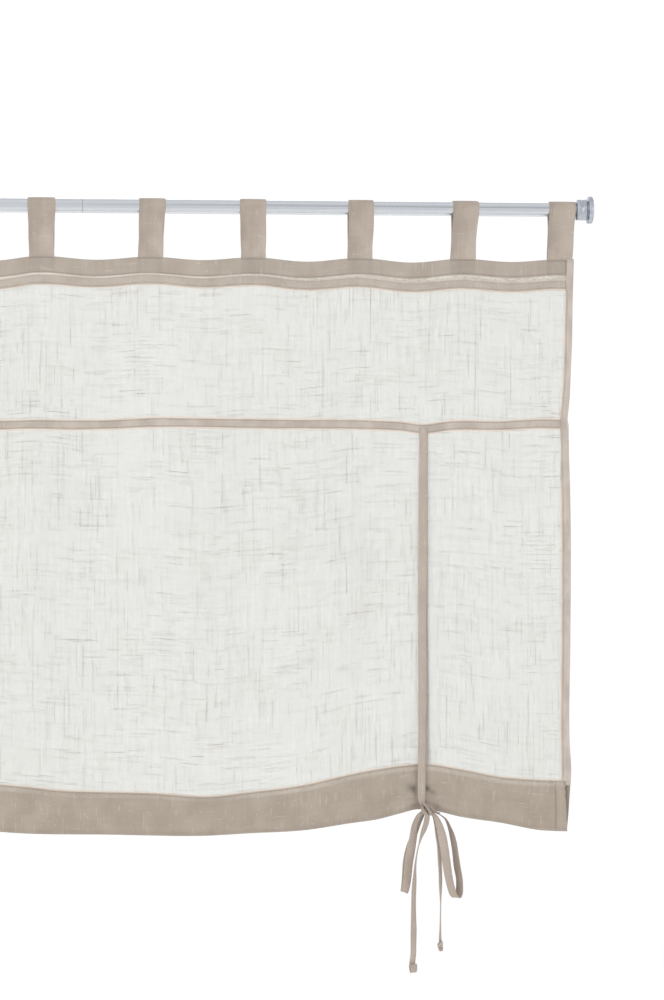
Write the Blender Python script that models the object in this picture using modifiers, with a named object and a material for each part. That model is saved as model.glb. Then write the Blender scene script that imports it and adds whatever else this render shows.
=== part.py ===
"""Tie-up blind of white voile with taupe bands, hung by nine tabs on its metal rod.

Metres, +Z up. The rod lies along X with the middle of its axis at the origin, and the blind's
front is -Y. Every layer of cloth follows one hanging surface, hang(x, z), at its own small
distance in front of it or behind it. The far left repeats the right.
"""

import math
from collections import namedtuple

import bmesh
import bpy
import numpy as np
from mathutils import Vector

# Rod and caps
ROD_RADIUS = 0.010
ROD_HALF_LENGTH = 0.6130
ROD_SIDES = 32
CAP_MOUTH_X = 0.6030
CAP_FACE_X = 0.6260
CAP_COLLAR_RADIUS = 0.0148
CAP_GROOVE_RADIUS = 0.0132
CAP_FLANGE_RADIUS = 0.0194
CAP_FLANGE_THICKNESS = 0.0068
CAP_STEPS = 24

# Cloth
GAP = 0.0003
CLOTH = 0.0010
TAB_CLOTH = 0.0014
LAYER = 0.0014
SEAM_TUCK = 0.0060
HALF_WIDTH = 0.6000
SHARED_REACH = 0.5600
STATION_STEP = 0.0260

# Tabs: the middle of the foot and of the top along the rod, and the width at each
Tab = namedtuple("Tab", "foot_x top_x foot_width top_width")
SEEN_TABS = (
    Tab(-0.1535, -0.1540, 0.0350, 0.0390),
    Tab(-0.0015, 0.0010, 0.0350, 0.0375),
    Tab(0.1435, 0.1430, 0.0345, 0.0372),
    Tab(0.2940, 0.2955, 0.0355, 0.0362),
    Tab(0.4435, 0.4440, 0.0360, 0.0370),
    Tab(0.5790, 0.5822, 0.0365, 0.0380),
)
TAB_FOOT_Z = -0.0706

# Heading between one tab and the next: how far its top edge sags, and how far it leans out
Span = namedtuple("Span", "sag lean")
SEEN_SPANS = (
    Span(0.0076, -0.0045),
    Span(0.0036, 0.0030),
    Span(0.0036, -0.0035),
    Span(0.0044, 0.0038),
    Span(0.0050, -0.0048),
    Span(0.0034, 0.0026),
)
LEAN_REACH = 0.150
HEADING_HEIGHT = 0.0372
HEADING_HEIGHT_GAIN = 0.0044
HEADING_GAIN_X = 0.450

# Upright folds of the whole cloth, which grow below the heading
Fold = namedtuple("Fold", "x half_width depth")
FOLDS = (
    Fold(-0.5200, 0.0500, 0.0045),
    Fold(-0.4550, 0.0440, -0.0050),
    Fold(-0.2750, 0.0600, 0.0055),
    Fold(-0.1750, 0.0450, -0.0052),
    Fold(-0.0700, 0.0550, 0.0060),
    Fold(0.0450, 0.0500, -0.0050),
    Fold(0.1350, 0.0420, 0.0066),
    Fold(0.2250, 0.0460, -0.0058),
    Fold(0.3050, 0.0380, 0.0040),
    Fold(0.4650, 0.0480, -0.0050),
    Fold(0.5400, 0.0350, 0.0040),
)
FOLD_TOP_Z = -0.100
FOLD_GROWTH = 0.330
FOLD_LEFT_AT_HEM = 0.75

# The drawn-up cloth round each tie
TIE_X = 0.3845
TIE_FLAT_WIDTH = 0.034
TIE_GROWTH = 0.120
BELLY_DEPTH = 0.0090
BELLY_OFFSET = 0.062
BELLY_WIDTH = 0.036
EDGE_CURL = 0.0060
EDGE_CURL_WIDTH = 0.055

# Band across the blind, which ends at the side bindings: its middle line
BandRow = namedtuple("BandRow", "x z")
SEEN_BAND = (
    BandRow(-0.2120, -0.3080),
    BandRow(-0.1600, -0.3067),
    BandRow(-0.1210, -0.3074),
    BandRow(-0.0510, -0.3062),
    BandRow(0.0000, -0.3038),
    BandRow(0.0680, -0.3041),
    BandRow(0.1900, -0.3056),
    BandRow(0.3080, -0.3064),
    BandRow(0.3510, -0.3083),
    BandRow(0.3840, -0.3120),
    BandRow(0.4220, -0.3075),
    BandRow(0.4940, -0.3072),
    BandRow(0.5510, -0.3042),
    BandRow(0.5800, -0.3046),
)
BAND_HEIGHT = 0.0116

# Right side binding: its outer fold and its inner edge
SideRow = namedtuple("SideRow", "z outer inner")
SIDE = (
    SideRow(-0.8845, 0.5906, 0.5800),
    SideRow(-0.8610, 0.5930, 0.5820),
    SideRow(-0.8250, 0.5953, 0.5835),
    SideRow(-0.8040, 0.5966, 0.5838),
    SideRow(-0.7540, 0.5943, 0.5830),
    SideRow(-0.6120, 0.5952, 0.5838),
    SideRow(-0.4700, 0.5956, 0.5837),
    SideRow(-0.3840, 0.5940, 0.5824),
    SideRow(-0.3270, 0.5919, 0.5813),
    SideRow(-0.3050, 0.5906, 0.5810),
    SideRow(-0.2700, 0.5936, 0.5834),
    SideRow(-0.2420, 0.5949, 0.5860),
    SideRow(-0.1990, 0.5968, 0.5874),
    SideRow(-0.1140, 0.5985, 0.5884),
    SideRow(-0.0700, 0.6000, 0.5884),
)

# Hem: its top and bottom edges across the blind, drawn up at the tie
HemRow = namedtuple("HemRow", "x top bottom")
SEEN_HEM = (
    HemRow(-0.2120, -0.8113, -0.8771),
    HemRow(-0.1740, -0.8150, -0.8796),
    HemRow(-0.1280, -0.8208, -0.8815),
    HemRow(-0.0720, -0.8237, -0.8828),
    HemRow(0.0000, -0.8254, -0.8843),
    HemRow(0.0890, -0.8306, -0.8850),
    HemRow(0.1390, -0.8257, -0.8830),
    HemRow(0.2150, -0.8154, -0.8785),
    HemRow(0.2730, -0.8030, -0.8707),
    HemRow(0.3230, -0.7940, -0.8640),
    HemRow(0.3510, -0.7898, -0.8565),
    HemRow(0.3760, -0.7876, -0.8508),
    HemRow(0.3940, -0.7881, -0.8520),
    HemRow(0.4370, -0.7949, -0.8616),
    HemRow(0.4940, -0.8063, -0.8706),
    HemRow(0.5510, -0.8115, -0.8822),
    HemRow(0.5900, -0.8131, -0.8846),
)
UNSEEN_FROM_X = 0.260
HEM_SWELL = 0.0011
HEM_FRONT_SHORT = 0.0090
HEM_COVERS_PANEL = 0.0090

# Ties. Each row is a point of the ribbon's middle line, measured from the knot, with the
# ribbon's width there and its turn in degrees: 0 faces the front, 90 is edge-on.
KNOT = (0.3885, -0.0098, -0.8500)
KNOT_HALF_SIZE = (0.0082, 0.0056, 0.0070)
KNOT_LUMP = 0.10
RibbonRow = namedtuple("RibbonRow", "x y z width turn")
LEFT_LOOP = (
    RibbonRow(-0.0030, -0.0028, -0.0020, 0.0040, 8),
    RibbonRow(-0.0110, -0.0044, -0.0070, 0.0065, 10),
    RibbonRow(-0.0178, -0.0050, -0.0200, 0.0090, 25),
    RibbonRow(-0.0200, -0.0045, -0.0362, 0.0115, 20),
    RibbonRow(-0.0232, -0.0035, -0.0560, 0.0120, 8),
    RibbonRow(-0.0262, -0.0030, -0.0743, 0.0120, 5),
    RibbonRow(-0.0280, -0.0030, -0.0933, 0.0115, 12),
    RibbonRow(-0.0310, -0.0028, -0.1110, 0.0112, 8),
    RibbonRow(-0.0324, 0.0005, -0.1165, 0.0110, 6),
    RibbonRow(-0.0310, 0.0040, -0.1110, 0.0112, 4),
    RibbonRow(-0.0290, 0.0045, -0.0933, 0.0120, 0),
    RibbonRow(-0.0276, 0.0055, -0.0743, 0.0120, -8),
    RibbonRow(-0.0240, 0.0060, -0.0560, 0.0115, -20),
    RibbonRow(-0.0180, 0.0058, -0.0362, 0.0100, -40),
    RibbonRow(-0.0118, 0.0050, -0.0200, 0.0070, -30),
    RibbonRow(-0.0045, 0.0028, -0.0055, 0.0040, -12),
)
RIGHT_LOOP = (
    RibbonRow(0.0030, -0.0022, -0.0020, 0.0040, 10),
    RibbonRow(0.0110, -0.0028, -0.0085, 0.0055, 16),
    RibbonRow(0.0168, -0.0025, -0.0213, 0.0100, 28),
    RibbonRow(0.0209, -0.0030, -0.0362, 0.0120, 26),
    RibbonRow(0.0244, -0.0030, -0.0552, 0.0125, 25),
    RibbonRow(0.0272, -0.0030, -0.0743, 0.0125, 32),
    RibbonRow(0.0303, -0.0025, -0.0933, 0.0125, 44),
    RibbonRow(0.0338, -0.0015, -0.1110, 0.0122, 62),
    RibbonRow(0.0412, 0.0015, -0.1262, 0.0118, 88),
    RibbonRow(0.0476, 0.0040, -0.1110, 0.0120, 112),
    RibbonRow(0.0466, 0.0052, -0.0990, 0.0122, 124),
    RibbonRow(0.0437, 0.0060, -0.0838, 0.0125, 138),
    RibbonRow(0.0412, 0.0060, -0.0648, 0.0125, 140),
    RibbonRow(0.0380, 0.0055, -0.0457, 0.0120, 132),
    RibbonRow(0.0325, 0.0048, -0.0267, 0.0100, 115),
    RibbonRow(0.0252, 0.0035, -0.0128, 0.0080, 102),
    RibbonRow(0.0150, 0.0032, -0.0060, 0.0050, 84),
    RibbonRow(0.0045, 0.0026, -0.0018, 0.0035, 75),
)
LEFT_TAIL = (
    RibbonRow(0.0005, -0.0035, -0.0030, 0.0040, 10),
    RibbonRow(-0.0005, -0.0055, -0.0090, 0.0070, 18),
    RibbonRow(-0.0022, -0.0068, -0.0180, 0.0110, 40),
    RibbonRow(-0.0054, -0.0072, -0.0270, 0.0125, 50),
    RibbonRow(-0.0090, -0.0072, -0.0370, 0.0125, 64),
    RibbonRow(-0.0142, -0.0070, -0.0555, 0.0125, 80),
    RibbonRow(-0.0172, -0.0068, -0.0738, 0.0125, 74),
    RibbonRow(-0.0190, -0.0066, -0.1000, 0.0125, 60),
    RibbonRow(-0.0202, -0.0064, -0.1390, 0.0125, 53),
    RibbonRow(-0.0200, -0.0064, -0.1700, 0.0125, 46),
    RibbonRow(-0.0203, -0.0064, -0.2000, 0.0125, 46),
    RibbonRow(-0.0209, -0.0064, -0.2255, 0.0120, 40),
)
RIGHT_TAIL = (
    RibbonRow(0.0035, 0.0030, -0.0035, 0.0040, 20),
    RibbonRow(0.0090, 0.0040, -0.0085, 0.0060, 40),
    RibbonRow(0.0128, 0.0052, -0.0205, 0.0100, 55),
    RibbonRow(0.0150, 0.0056, -0.0360, 0.0125, 60),
    RibbonRow(0.0174, 0.0058, -0.0554, 0.0125, 62),
    RibbonRow(0.0186, 0.0058, -0.0738, 0.0125, 61),
    RibbonRow(0.0195, 0.0058, -0.1020, 0.0125, 65),
    RibbonRow(0.0198, 0.0058, -0.1390, 0.0125, 79),
    RibbonRow(0.0195, 0.0058, -0.1605, 0.0125, 80),
    RibbonRow(0.0191, 0.0058, -0.1790, 0.0100, 70),
    RibbonRow(0.0193, 0.0058, -0.1930, 0.0070, 50),
)
# The folded and stitched end of the left tail, and the small knot that ends the right one
TAIL_HEM_CENTRE = (-0.0203, -0.0064, -0.2262)
TAIL_HEM_HALF_SIZE = (0.0052, 0.0026, 0.0046)
TAIL_KNOT_CENTRE = (0.0196, 0.0058, -0.1935)
TAIL_KNOT_HALF_SIZE = (0.0040, 0.0036, 0.0058)
# Front ribbon from the band down to the knot, and the back ribbon, which comes round the hem:
# x and z are places on the blind, and y is the distance from the hanging surface
FRONT_RIBBON = (
    RibbonRow(0.3845, -LAYER, -0.3185, 0.0115, 0),
    RibbonRow(0.3842, -0.0026, -0.3500, 0.0122, 0),
    RibbonRow(0.3838, -0.0036, -0.4700, 0.0130, 2),
    RibbonRow(0.3826, -0.0040, -0.5800, 0.0116, -4),
    RibbonRow(0.3828, -0.0042, -0.6800, 0.0118, 0),
    RibbonRow(0.3820, -0.0048, -0.7550, 0.0110, 4),
    RibbonRow(0.3814, -0.0058, -0.7900, 0.0113, 0),
    RibbonRow(0.3812, -0.0064, -0.8200, 0.0110, 0),
    RibbonRow(0.3822, -0.0070, -0.8350, 0.0095, 0),
    RibbonRow(0.3845, -0.0082, -0.8430, 0.0075, 0),
    RibbonRow(0.3875, -0.0096, -0.8485, 0.0060, 0),
)
BACK_RIBBON = (
    RibbonRow(0.3850, CLOTH + GAP, -0.3150, 0.0115, 0),
    RibbonRow(0.3850, CLOTH + GAP, -0.3290, 0.0115, 0),
    RibbonRow(0.3852, 0.0032, -0.4700, 0.0120, 0),
    RibbonRow(0.3860, 0.0034, -0.6200, 0.0120, 0),
    RibbonRow(0.3872, 0.0036, -0.7200, 0.0122, 0),
    RibbonRow(0.3876, 0.0046, -0.7700, 0.0122, 0),
    RibbonRow(0.3872, 0.0060, -0.8000, 0.0118, 0),
    RibbonRow(0.3868, 0.0062, -0.8400, 0.0110, 0),
    RibbonRow(0.3868, 0.0050, -0.8528, 0.0100, 0),
    RibbonRow(0.3872, 0.0022, -0.8562, 0.0090, 0),
    RibbonRow(0.3880, -0.0012, -0.8560, 0.0075, 0),
    RibbonRow(0.3885, -0.0036, -0.8552, 0.0060, 0),
)

# Finishes: colour as seen (0 to 255), roughness, metallic
Finish = namedtuple("Finish", "colour roughness metallic")
FINISHES = {
    "voile": Finish((236, 236, 232), 0.85, 0.0),
    "taupe_cloth": Finish((186, 173, 158), 0.90, 0.0),
    "rod_metal": Finish((206, 209, 214), 0.30, 1.0),
    "cap_metal": Finish((176, 179, 186), 0.34, 1.0),
}


def clear_scene():
    for obj in list(bpy.data.objects):
        bpy.data.objects.remove(obj, do_unlink=True)


def new_collection(name):
    collection = bpy.data.collections.new(name)
    bpy.context.scene.collection.children.link(collection)
    return collection


def linear(channel):
    """A display colour channel, 0 to 255, as the linear value that a shader takes."""
    share = channel / 255
    return share / 12.92 if share <= 0.04045 else ((share + 0.055) / 1.055) ** 2.4


def new_material(name):
    finish = FINISHES[name]
    material = bpy.data.materials.new(name)
    material.use_nodes = True
    shader = material.node_tree.nodes["Principled BSDF"]
    shader.inputs["Base Color"].default_value = (*map(linear, finish.colour), 1)
    shader.inputs["Roughness"].default_value = finish.roughness
    shader.inputs["Metallic"].default_value = finish.metallic
    return material


def add_object(name, mesh, collection, material):
    obj = bpy.data.objects.new(name, mesh)
    collection.objects.link(obj)
    mesh.materials.clear()
    mesh.materials.append(material)
    return obj


def ramp(share):
    """0 below 0, 1 above 1, with a smooth rise between them."""
    share = np.clip(share, 0, 1)
    return share * share * (3 - 2 * share)


def bell(distance):
    """1 at 0, with a smooth fall on both sides."""
    return np.exp(-distance * distance)


def through(places, values, at):
    """A smooth curve through (places, values), read at the places given."""
    places, values = np.asarray(places, float), np.asarray(values, float)
    slopes = np.gradient(values, places)
    at = np.clip(at, places[0], places[-1])
    i = np.clip(np.searchsorted(places, at) - 1, 0, len(places) - 2)
    span = places[i + 1] - places[i]
    t = (at - places[i]) / span
    start = (1 + 2 * t) * (1 - t) ** 2 * values[i] + t * (1 - t) ** 2 * span * slopes[i]
    end = t * t * (3 - 2 * t) * values[i + 1] + t * t * (t - 1) * span * slopes[i + 1]
    return start + end


def with_unseen_side(rows):
    """The rows seen, with those past the left edge repeated from the right."""
    mirrored = [row._replace(x=-row.x) for row in reversed(rows) if row.x > UNSEEN_FROM_X]
    return mirrored + list(rows)


def mirrored_tab(tab):
    return tab._replace(foot_x=-tab.foot_x, top_x=-tab.top_x)


def column(rows, name):
    return [getattr(row, name) for row in rows]


TABS = [mirrored_tab(tab) for tab in SEEN_TABS[:2:-1]] + list(SEEN_TABS)
SPANS = [SEEN_SPANS[5], SEEN_SPANS[4]] + list(SEEN_SPANS)
BAND = with_unseen_side(SEEN_BAND)
HEM = with_unseen_side(SEEN_HEM)


def between_tabs(x, name):
    """The named measure of the span that x lies in, nothing at a tab and full at mid-span."""
    feet = column(TABS, "foot_x")
    place = np.interp(x, feet, np.arange(len(feet)))
    span = np.minimum(place.astype(int), len(SPANS) - 1)
    return np.array(column(SPANS, name))[span] * np.sin(math.pi * place) ** 2


def heading_top(x):
    return TAB_FOOT_Z - between_tabs(x, "sag")


def heading_foot(x):
    gain = HEADING_HEIGHT_GAIN * np.clip(np.abs(x) / HEADING_GAIN_X, 0, 1)
    return heading_top(x) - HEADING_HEIGHT - gain


def band_z(x):
    return through(column(BAND, "x"), column(BAND, "z"), x)


def hem_top(x):
    return through(column(HEM, "x"), column(HEM, "top"), x)


def hem_bottom(x):
    return through(column(HEM, "x"), column(HEM, "bottom"), x)


def side(z, name):
    """The outer or inner edge of the side binding, as a distance from the middle."""
    return through(column(SIDE, "z"), column(SIDE, name), z)


def near_tie(x, width):
    return bell((np.abs(x) - TIE_X) / width)


def hang(x, z):
    """Depth of the hanging surface at (x, z).

    Upright folds grow below the heading, flatten at the ties and ease off at the hem. The
    heading leans out or in between tabs, the drawn-up cloth bellies back on both sides of
    each tie, and the side edges curl back lower down.
    """
    x, z = np.broadcast_arrays(np.asarray(x, float), np.asarray(z, float))
    folds = sum(fold.depth * bell((x - fold.x) / fold.half_width) for fold in FOLDS)
    grown = ramp((FOLD_TOP_Z - z) / FOLD_GROWTH)
    share = np.clip((band_z(x) - z) / (band_z(x) - hem_top(x)), 0, 1)
    eased = 1 - (1 - FOLD_LEFT_AT_HEM) * share**3
    flattened = 1 - near_tie(x, TIE_FLAT_WIDTH) * ramp((band_z(x) - z) / TIE_GROWTH)
    lean = between_tabs(x, "lean") * bell((z - TAB_FOOT_Z) / LEAN_REACH)
    beside_tie = bell((np.abs(np.abs(x) - TIE_X) - BELLY_OFFSET) / BELLY_WIDTH)
    belly = BELLY_DEPTH * beside_tie * np.sin(math.pi * share) ** 2
    at_edge = ramp(1 - (HALF_WIDTH - np.abs(x)) / EDGE_CURL_WIDTH)
    curl = EDGE_CURL * at_edge * ramp((band_z(x) - z) / -hem_top(x))
    return folds * grown * eased * flattened + lean + belly + curl


def stations():
    """Places across the blind that every wide piece shares, closer together at the ties."""
    count = round(2 * HALF_WIDTH / STATION_STEP)
    even = np.linspace(-HALF_WIDTH, HALF_WIDTH, count + 1)
    close = TIE_X + np.array([-0.0165, -0.0055, 0.0055, 0.0165])
    even = even[np.abs(np.abs(even) - TIE_X) > 0.024]
    return np.sort(np.concatenate([even, close, -close]))


def fitted(station, half_width):
    """A station's x on a piece of this half width: only the ends move."""
    past = np.maximum(np.abs(station) - SHARED_REACH, 0)
    room = (half_width - SHARED_REACH) / (HALF_WIDTH - SHARED_REACH)
    return np.sign(station) * (np.minimum(np.abs(station), SHARED_REACH) + past * room)


def cloth(name, surface, columns, rows, thickness, collection, material):
    """A sheet on surface(columns, rows), with half its thickness on each side.

    columns and rows are the parameters' values; surface returns x, y and z of the points.
    """
    grid = bmesh.new()
    bmesh.ops.create_grid(grid, x_segments=len(columns) - 1, y_segments=len(rows) - 1, size=0.5)
    mesh = bpy.data.meshes.new(name)
    grid.to_mesh(mesh)
    grid.free()
    points = np.empty(len(mesh.vertices) * 3, np.float32)
    mesh.vertices.foreach_get("co", points)
    points = points.reshape(-1, 3)
    u = np.rint((points[:, 0] + 0.5) * (len(columns) - 1)).astype(int)
    v = np.rint((points[:, 1] + 0.5) * (len(rows) - 1)).astype(int)
    x, y, z = surface(np.asarray(columns)[u], np.asarray(rows)[v])
    mesh.vertices.foreach_set("co", np.stack([x, y, z], axis=1).astype(np.float32).ravel())
    mesh.update()
    mesh.shade_smooth()
    mesh.set_sharp_from_angle(angle=math.radians(50))
    obj = add_object(name, mesh, collection, material)
    solid = obj.modifiers.new("thickness", "SOLIDIFY")
    solid.thickness = thickness
    solid.offset = 0
    return obj


def along_fold(v, straight, radius):
    """A sheet folded in half, as (across, along, past).

    v from 0 to 1 runs along the front, round the fold and along the back. across is -1 in
    front and 1 behind, along is 0 at the free edges and 1 where the fold starts, and past is
    how far the fold itself reaches, in metres.
    """
    angle = math.pi * np.clip((v - straight) / (1 - 2 * straight), 0, 1)
    across = -np.cos(angle)
    along = np.clip(np.minimum(v, 1 - v) / straight, 0, 1)
    return across, along, radius * np.sin(angle)


def fold_rows(legs, straight, turns):
    """Row values for along_fold: so many steps down each leg and round the fold."""
    leg = np.linspace(0, straight, legs + 1)
    turn = np.linspace(straight, 1 - straight, turns + 1)
    return np.concatenate([leg, turn[1:-1], 1 - leg[::-1]])


def make_panel(collection, material):
    """The voile, from inside the heading down into the hem and out into the side bindings."""

    def surface(station, share):
        rough_z = heading_top(station) + share * (hem_top(station) - heading_top(station))
        x = fitted(station, side(rough_z, "outer") - 0.0025)
        top = heading_top(x) - SEAM_TUCK
        foot = hem_top(x) - HEM_COVERS_PANEL
        z = top + share * (foot - top)
        return x, hang(x, z), z

    rows = np.concatenate([[0, 0.045], np.linspace(0.10, 0.94, 13), [1]])
    return cloth("voile_panel", surface, stations(), rows, CLOTH, collection, material)


def make_heading(collection, material):
    """A band folded over the voile's top edge."""

    def surface(station, v):
        x = fitted(station, side(TAB_FOOT_Z, "inner") - GAP)
        across, along, past = along_fold(v, 0.4, LAYER)
        top = heading_top(x) - LAYER - CLOTH / 2
        z = heading_foot(x) + along * (top - heading_foot(x)) + past
        return x, hang(x, z) + across * LAYER, z

    rows = fold_rows(2, 0.4, 3)
    return cloth("heading_band", surface, stations(), rows, CLOTH, collection, material)


def make_band(collection, material):
    """The narrow band across the front, between the side bindings."""

    def surface(station, share):
        x = fitted(station, side(-0.3045, "inner") - GAP)
        z = band_z(x) + (0.5 - share) * BAND_HEIGHT
        return x, hang(x, z) - LAYER, z

    rows = (0, 0.5, 1)
    return cloth("cross_band", surface, stations(), rows, CLOTH, collection, material)


def make_side(name, sign, collection, material):
    """A binding folded round one side edge, from the heading's top down to the hem."""

    def surface(share, v):
        top = TAB_FOOT_Z
        foot = hem_top(side(-0.8, "inner")) + 2 * GAP
        z = top + share * (foot - top)
        across, along, past = along_fold(v, 0.38, LAYER)
        start = side(z, "inner")
        fold = side(z, "outer") - LAYER - CLOTH / 2
        x = sign * (start + along * (fold - start) + past)
        return x, hang(x, z) + across * LAYER, z

    shares = np.linspace(0, 1, 25)
    rows = fold_rows(1, 0.38, 3)
    return cloth(name, surface, shares, rows, CLOTH, collection, material)


def make_hem(collection, material):
    """The hem: a flat tunnel with open ends, folded at the bottom, whose front layer is a
    little shorter than its back layer at each end."""

    def surface(station, v):
        across, up, past = along_fold(v, 0.42, LAYER)
        down = up
        rough_z = hem_top(station) + down * (hem_bottom(station) - hem_top(station))
        front = np.clip(-across, 0, 1)
        x = fitted(station, side(rough_z, "outer") - HEM_FRONT_SHORT * front * (1 - down))
        bottom = hem_bottom(x) + LAYER + CLOTH / 2
        z = hem_top(x) + down * (bottom - hem_top(x)) - past
        swell = HEM_SWELL * np.sin(math.pi * down) * (1 - near_tie(x, TIE_FLAT_WIDTH))
        return x, hang(x, z) + across * (LAYER + swell), z

    rows = fold_rows(3, 0.42, 3)
    return cloth("hem_tunnel", surface, stations(), rows, CLOTH, collection, material)


def make_tab(name, tab, collection, material):
    """A strip laid over the rod, whose two ends run straight down to the heading's top."""
    radius = ROD_RADIUS + GAP + TAB_CLOTH / 2
    foot_y = GAP + TAB_CLOTH / 2
    leg = -TAB_FOOT_Z
    touch = math.acos(radius / math.hypot(leg, foot_y)) - math.atan2(foot_y, leg)

    def surface(share, v):
        # The angle runs from the front leg's touching point, over the rod, to the back one's
        angle = touch + (2 * math.pi - 2 * touch) * np.clip((v - 0.25) / 0.5, 0, 1)
        loop_y, loop_z = -radius * np.sin(angle), -radius * np.cos(angle)
        down = 1 - np.clip(np.minimum(v, 1 - v) / 0.25, 0, 1)
        width = tab.top_width + down * (tab.foot_width - tab.top_width)
        x = tab.top_x + down * (tab.foot_x - tab.top_x) + (share - 0.5) * width
        foot_z = heading_top(x) + GAP
        z = loop_z + down * (foot_z - loop_z)
        end_y = hang(x, foot_z) + np.where(v < 0.5, -foot_y, foot_y)
        return x, loop_y + down * (end_y - loop_y), z

    rows = np.concatenate([[0, 0.12], np.linspace(0.25, 0.75, 13), [0.88, 1]])
    shares = np.linspace(0, 1, 3)
    return cloth(name, surface, shares, rows, TAB_CLOTH, collection, material)


def ribbon_surface(rows, sign, base, follow):
    """The surface of a ribbon along its rows, and the share of its length at each row.

    follow adds the hanging surface's depth to the rows' own.
    """
    table = np.array(rows, float)
    table[:, :3] += base
    if follow:
        table[:, 1] += hang(sign * table[:, 0], table[:, 2])
    lengths = np.linalg.norm(np.diff(table[:, :3], axis=0), axis=1)
    places = np.concatenate([[0], np.cumsum(lengths)])
    places /= places[-1]

    def surface(share, v):
        middle = np.stack([through(places, table[:, i], v) for i in range(3)], axis=1)
        step = 0.002
        before = np.stack([through(places, table[:, i], v - step) for i in range(3)], axis=1)
        after = np.stack([through(places, table[:, i], v + step) for i in range(3)], axis=1)
        run = after - before
        run /= np.linalg.norm(run, axis=1, keepdims=True)
        turn = np.radians(through(places, table[:, 4], v))
        across = np.stack([np.cos(turn), np.sin(turn), np.zeros_like(turn)], axis=1)
        across -= run * np.sum(run * across, axis=1, keepdims=True)
        across /= np.linalg.norm(across, axis=1, keepdims=True)
        width = through(places, table[:, 3], v) * (share - 0.5)
        points = middle + across * width[:, None]
        return sign * points[:, 0], points[:, 1], points[:, 2]

    return surface, places


def make_ribbon(name, rows, sign, steps, collection, material, base=(0, 0, 0), follow=False):
    """A ribbon with so many steps from each row to the next."""
    surface, places = ribbon_surface(rows, sign, base, follow)
    row_numbers = np.arange(len(rows))
    lengthwise = np.interp(np.arange(steps * (len(rows) - 1) + 1) / steps, row_numbers, places)
    return cloth(name, surface, (0, 1), lengthwise, CLOTH, collection, material)


def make_lump(name, centre, half_size, sign, lump, collection, material):
    """A small tight knot: a ball drawn out to its half sizes, with uneven sides."""
    ball = bmesh.new()
    bmesh.ops.create_uvsphere(ball, u_segments=10, v_segments=6, radius=1)
    for vertex in ball.verts:
        x, y, z = vertex.co
        swell = 1 + lump * math.sin(3.1 * x + 2.3 * z) * math.cos(2.7 * y - 1.9 * z)
        vertex.co = [c * h * swell for c, h in zip((sign * x, y, z), half_size)]
        vertex.co += from_knot(centre, sign)
    bmesh.ops.recalc_face_normals(ball, faces=ball.faces)
    mesh = bpy.data.meshes.new(name)
    ball.to_mesh(mesh)
    ball.free()
    return add_object(name, mesh, collection, material)


def from_knot(offset, sign):
    """The place of a point measured from the knot, on the right or, mirrored, on the left."""
    x, y, z = (k + c for k, c in zip(KNOT, offset))
    return Vector((sign * x, y, z))


def make_tie(side_name, sign, collection, guides, material):
    """The two ribbons of one tie. The front one is tied into the bow: a knot, two loops and
    two tails. The back one comes up under the hem to the knot."""
    front = make_ribbon(
        f"tie_front_{side_name}", FRONT_RIBBON, sign, 3, collection, material, follow=True
    )
    make_ribbon(f"tie_back_{side_name}", BACK_RIBBON, sign, 3, collection, material, follow=True)
    pieces = [
        make_lump(f"knot_{side_name}", (0, 0, 0), KNOT_HALF_SIZE, sign, KNOT_LUMP, guides, material)
    ]
    lengths = (
        ("loop_inner", LEFT_LOOP, 2),
        ("loop_outer", RIGHT_LOOP, 2),
        ("tail_long", LEFT_TAIL, 1),
        ("tail_short", RIGHT_TAIL, 1),
    )
    for name, rows, steps in lengths:
        label = f"{name}_{side_name}"
        pieces.append(make_ribbon(label, rows, sign, steps, guides, material, base=KNOT))
    ends = (
        ("tail_hem", TAIL_HEM_CENTRE, TAIL_HEM_HALF_SIZE),
        ("tail_knot", TAIL_KNOT_CENTRE, TAIL_KNOT_HALF_SIZE),
    )
    for name, centre, half_size in ends:
        label = f"{name}_{side_name}"
        pieces.append(make_lump(label, centre, half_size, sign, KNOT_LUMP, guides, material))
    for piece in pieces:
        piece.hide_render = True
        piece.display_type = "WIRE"
        join = front.modifiers.new(piece.name, "BOOLEAN")
        join.operation = "UNION"
        join.object = piece
    return front


def make_rod(collection, material):
    bpy.ops.mesh.primitive_cylinder_add(
        vertices=ROD_SIDES,
        radius=ROD_RADIUS,
        depth=2 * ROD_HALF_LENGTH,
        rotation=(0, math.pi / 2, 0),
    )
    rod = bpy.context.object
    rod.name = "rod"
    rod.data.materials.append(material)
    rod.data.shade_smooth()
    rod.data.set_sharp_from_angle(angle=math.radians(40))
    for holder in rod.users_collection:
        holder.objects.unlink(rod)
    collection.objects.link(rod)
    return rod


def cap_profile():
    """Half section of a cap as (radius, height): its outer face is on top, and the mouth that
    takes the rod's end is at the bottom."""
    face = CAP_FACE_X - CAP_MOUTH_X
    flange = CAP_FLANGE_RADIUS
    round_off = 0.0022
    under = face - CAP_FLANGE_THICKNESS
    floor = ROD_HALF_LENGTH + GAP - CAP_MOUTH_X
    bore = ROD_RADIUS + GAP
    quarter = np.radians([90, 60, 30, 0])
    rim = [
        (flange - round_off + round_off * math.cos(a), face - round_off + round_off * math.sin(a))
        for a in quarter
    ]
    return [
        (0, face),
        *rim,
        (flange, under + 0.0012),
        (flange - 0.0010, under),
        (CAP_GROOVE_RADIUS, under),
        (CAP_GROOVE_RADIUS, under - 0.0014),
        (CAP_COLLAR_RADIUS, under - 0.0022),
        (CAP_COLLAR_RADIUS, 0.0008),
        (CAP_COLLAR_RADIUS - 0.0008, 0),
        (bore, 0),
        (bore, floor),
        (0, floor),
    ]


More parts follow.
